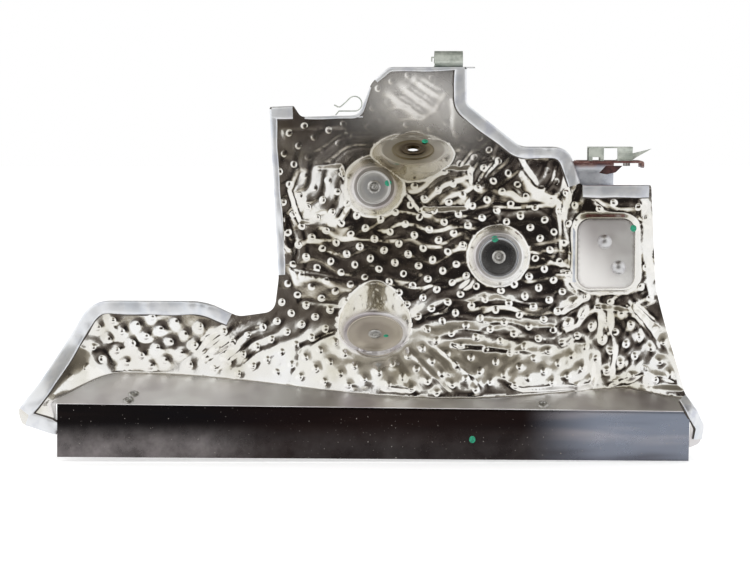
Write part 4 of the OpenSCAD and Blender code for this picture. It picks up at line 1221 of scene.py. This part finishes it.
boss_rivets = studs("boss_rivets", [(boss_place(k), (1, 1, 1)) for k in "abc"], blind_profile(0.7, SHEET_T, 9.5),
                    RIVET)
finish_piece(boss_rivets, "boss_rivet", "boss_rivet_a", "boss_rivet_b", "boss_rivet_c")
skirt_rivets = studs("skirt_rivets", [(ledge_place(*p), (1, 1, 1)) for p in SKIRT_RIVETS],
                     blind_profile(0, SHEET_T + SKIRT_T, 8.0), RIVET)
finish_piece(skirt_rivets, "skirt_rivet", "skirt_rivet_left", "skirt_rivet_left_lower", "skirt_rivet_right")
dome_profile = [(0, -3.6), (3.2, -3.6), (3.4, -3.4), (3.4, -2.2), (2.4, -2.1), (2.4, 0.0), (5.2, 0.02)]
dome_profile += [(5.2 * math.cos(a), 3.4 * math.sin(a)) for a in np.linspace(0.1, math.pi / 2, 12)][:-1] + [(0, 3.4)]
domes = studs("pad_domes", [(pad_place(*p), (1, 1, 1)) for p in PAD_RIVETS], dome_profile, DOME, segments=48)
finish_piece(domes, "pad_rivet", "pad_rivet_upper", "pad_rivet_lower")

# The bracket: a leg behind the pad, a joggle, an upright and a leaf bent forward
leg_mid, upright_mid, leaf_top = 11.0 + SHEET_T + 0.75, WALL_BACK + SHEET_T + 2 + 0.75, -7.5
upright_line = rounded_path([(128, leg_mid, -93.9), (128, leg_mid, -57.8), (128, upright_mid, -49.8),
                             (128, upright_mid, leaf_top - 0.75), (128, 2, leaf_top - 0.75)], [4, 4, 8.3], 10)
upright = outward(*ribbon(upright_line, (1, 0, 0), 28.9, 1.5, 0.4))
leaf_line = rounded_path([(115.8, 6.5, leaf_top - 0.75), (160.7, 6.5, leaf_top - 0.75), (160.7, 6.5, leaf_top - 4.9)],
                         [1.2], 6)
leaf = outward(*ribbon(leaf_line, (0, 1, 0), 22.9, 1.5, 0.4))
lug_outline = [(130.4, -16.0), (135.7, -17.0), (141.9, -15.6), (146.6, -11.0), (135.0, -11.0)]
lug = outward(*loft([np.array([(x, y, z) for x, z in lug_outline]) for y in (-1.6, -0.6)]))
bracket = joined("pipe_bracket_plate", [upright, leaf], [BRACKET], 40)
finish_piece(bracket, "pipe_bracket", "pipe_bracket")
# The lug's dark colour is painted shade under the leaf
lug_piece = joined("pipe_bracket_lug", [lug], [LUG_PAINTED_SHADE], 40)
finish_piece(lug_piece, "pipe_bracket")

# The side clip, edge on: a base leg, a loop and a pinched upper leg with a flared lip
clip_y = WALL_BACK + 2 + 7.5
loop = [(-41.1 + 5.2 * math.cos(a), clip_y, 32.2 + 5.2 * math.sin(a))
        for a in np.linspace(-math.pi / 2, math.radians(135), 28)]
lip = [(-50.2, clip_y, 30.8), (-51.6, clip_y, 29.9), (-53.0, clip_y, 30.0), (-55.5, clip_y, 31.3)]
base = [(-54.6, clip_y, 24.2), (-52.2, clip_y, 27.0), (-47, clip_y, 27.0)]
side_line = np.array(base + loop + [(-47.5, clip_y, 33.2)] + lip)
side_clip = joined("side_spring_clip", [outward(*ribbon(side_line, (0, 1, 0), 14.9, 0.8, 0.25))], [CLIP], 40)
finish_piece(side_clip, "side_clip", "side_clip")

for name in ("bracket_clip", "bracket_clip_rivet", "top_clip"):
    NODES[name].data.materials.clear()
    NODES[name].data.materials.append(RIVET if name == "bracket_clip_rivet" else CLIP)

# The small flanges behind the sheet's top edges, which the clips stand on
flange_shells = []
for x0, x1, y0, z in ((14.6, 43.9, WALL_BACK - 0.9, 57.6), (-57.9, -35.1, WALL_BACK + 0.4, 23.1)):
    line = [(x0, y0 + 8.4, z), (0.5 * (x0 + x1), y0 + 8.4, z), (x1, y0 + 8.4, z)]
    flange_shells.append(outward(*ribbon(line, (0, 1, 0), 16.7, 0.95, 0.3)))
flanges = joined("clip_flanges", flange_shells, [HEM], 40)
finish_piece(flanges, "shield_sheet")

# Six dabs of green paint left by the inspector
DABS = [(boss_place("d") @ Matrix.Translation((8.6, 12.0, 0.9)), (2.2, 3.0, 1)),
        (boss_place("a") @ Matrix.Translation((9.9, 2.8, 0.55)), (2.3, 2.2, 1)),
        (boss_place("b") @ Matrix.Translation((-2.8, 12.6, 0.6)), (2.4, 2.2, 1)),
        (pad_place(156.2, -55.6), (2.2, 2.4, 1)),
        (boss_place("c") @ Matrix.Translation((7.7, -2.2, 0.6)), (1.8, 1.6, 1)),
        (Matrix.Translation((41.2, -SKIRT_FORWARD - 0.02, -200.8)) @ Matrix.Rotation(math.radians(90), 4, "X"),
         (2.2, 2.4, 1))]
dab_profile = [(0, -0.05), (1, -0.05), (1.02, 0.03), (0.9, 0.1), (0.6, 0.15), (0, 0.17)]
dabs = studs("paint_dabs", [(m, (a, b, c)) for m, (a, b, c) in DABS], dab_profile, PAINT, segments=20)
finish_piece(dabs, "shield_sheet")


# ---------------------------------------------------------------- camera, room and light
VIEW_TILT = math.radians(5)
CAMERA_FAR, PIXEL, PICTURE_WIDE = 1500, 0.7, 750
CAMERA_AT = (-26.6, -1502.3, 39.4)
camera = bpy.data.cameras.new("photo_camera")
camera.sensor_width = 36
camera.lens = CAMERA_FAR / PIXEL * camera.sensor_width / PICTURE_WIDE
camera_object = bpy.data.objects.new("photo_camera", camera)
camera_object.location = Vector(CAMERA_AT) * MM
camera_object.rotation_euler = (math.pi / 2 - VIEW_TILT, 0, 0)
bpy.context.scene.collection.objects.link(camera_object)
bpy.context.scene.camera = camera_object


def stage_plane(name, corners, material):
    """A flat board that belongs to the stage."""
    mesh = bpy.data.meshes.new(name)
    mesh.from_pydata([tuple(c) for c in corners], [], [(0, 1, 2, 3)])
    mesh.materials.append(material)
    plane = bpy.data.objects.new(name, mesh)
    bpy.context.scene.collection.objects.link(plane)
    return plane


FLOOR_Z = -0.2168
floor_paint, floor_tree, floor_shader = new_material("white_table", Base_Color=linear("#F0F0F0"), Roughness=0.9)
path = add(floor_tree, "ShaderNodeLightPath")
lit = add(floor_tree, "ShaderNodeEmission", {"Color": (1, 1, 1, 1), "Strength": 0.3})
both = add(floor_tree, "ShaderNodeAddShader", {0: floor_shader.outputs[0], 1: lit.outputs[0]})
seen = add(floor_tree, "ShaderNodeMixShader", {0: path.outputs["Is Camera Ray"], 1: floor_shader.outputs[0],
                                               2: both.outputs[0]})
floor_tree.links.new(seen.outputs[0], floor_tree.nodes["Material Output"].inputs["Surface"])
stage_plane("white_table", [(-4, -1.9, FLOOR_Z), (4, -1.9, FLOOR_Z), (4, 6, FLOOR_Z), (-4, 6, FLOOR_Z)], floor_paint)


def card(name, corners, centre, weights, stops, clutter_mm=0, clutter_share=0.0):
    """A board that only the mirror-like metal shows: its tone depends on how far a point is from the centre."""
    paint, tree, _ = new_material(name)
    place = object_place(tree)
    off = add(tree, "ShaderNodeVectorMath", {0: place, 1: centre}, operation="SUBTRACT")
    wide = add(tree, "ShaderNodeVectorMath", {0: off.outputs["Vector"], 1: weights}, operation="MULTIPLY")
    away = add(tree, "ShaderNodeVectorMath", {0: wide.outputs["Vector"]}, operation="LENGTH").outputs["Value"]
    if clutter_mm:
        clutter = cloud(tree, place, clutter_mm, 2, 0.5, stretch=(1, 1, 0.35))
        away = maths(tree, "MULTIPLY_ADD", clutter, clutter_share, away)
    glow = add(tree, "ShaderNodeEmission", {"Color": ramp(tree, away, stops), "Strength": 1.0})
    tree.links.new(glow.outputs[0], tree.nodes["Material Output"].inputs["Surface"])
    board = stage_plane(name, corners, paint)
    board.visible_camera = board.visible_diffuse = board.visible_shadow = False


# What the sheet mirrors: the dark room behind the camera, the room's far side, the table in front of it and the
# ceiling
card("studio_room", [(-1.6, -1.9, FLOOR_Z), (1.5, -1.9, FLOOR_Z), (1.5, -1.9, 0.9), (-1.6, -1.9, 0.9)],
     (0.22, -1.9, 0.02), (0.8, 0, 0.72),
     [(0.30, "#1E1A19"), (0.42, "#3A332F"), (0.62, "#5F5852"), (0.8, "#8F8B86"), (0.9, "#F4F4F4")], 300, 0.36)
card("studio_far_side", [(-1.6, 3.0, FLOOR_Z), (1.5, 3.0, FLOOR_Z), (1.5, 3.0, 0.9), (-1.6, 3.0, 0.9)],
     (-0.1, 3.0, 0.1), (0.6, 0, 0.6),
     [(0.30, "#3A332F"), (0.45, "#6B645E"), (0.7, "#A8A49E"), (0.9, "#F4F4F4")], 300, 0.36)
table_z = FLOOR_Z + 0.001
card("studio_table", [(-1.6, -1.9, table_z), (1.5, -1.9, table_z), (1.5, -0.1, table_z), (-1.6, -0.1, table_z)],
     (0.08, -1.35, 0), (1.5, 0.8, 0),
     [(0.30, "#1E1A18"), (0.46, "#5E564D"), (0.60, "#A39B8C"), (0.70, "#DAD7CF"), (0.80, "#F8F8F8")])
card("studio_ceiling", [(-1.6, -1.9, 0.9), (1.5, -1.9, 0.9), (1.5, 2.2, 0.9), (-1.6, 2.2, 0.9)], (0.06, 0.3, 0),
     (1.2, 0.42, 0),
     [(0.25, "#46413A"), (0.5, "#6B655B"), (0.74, "#9A9488"), (0.95, "#F4F4F2")], 200, 0.2)

world = bpy.data.worlds.new("white_tent")
bpy.context.scene.world = world
world.use_nodes = True
world.node_tree.nodes["Background"].inputs["Color"].default_value = (1, 1, 1, 1)
world.node_tree.nodes["Background"].inputs["Strength"].default_value = 1.0

key = bpy.data.lights.new("softbox", "AREA")
key.shape, key.size, key.size_y, key.energy = "RECTANGLE", 1.2, 0.8, 6
key_object = bpy.data.objects.new("softbox", key)
key_object.location = (-0.9, -1.1, 1.3)
key_object.rotation_euler = (Vector((0, 0, -0.08)) - key_object.location).to_track_quat("-Z", "Y").to_euler()
bpy.context.scene.collection.objects.link(key_object)

bpy.context.scene.view_settings.view_transform = "Standard"
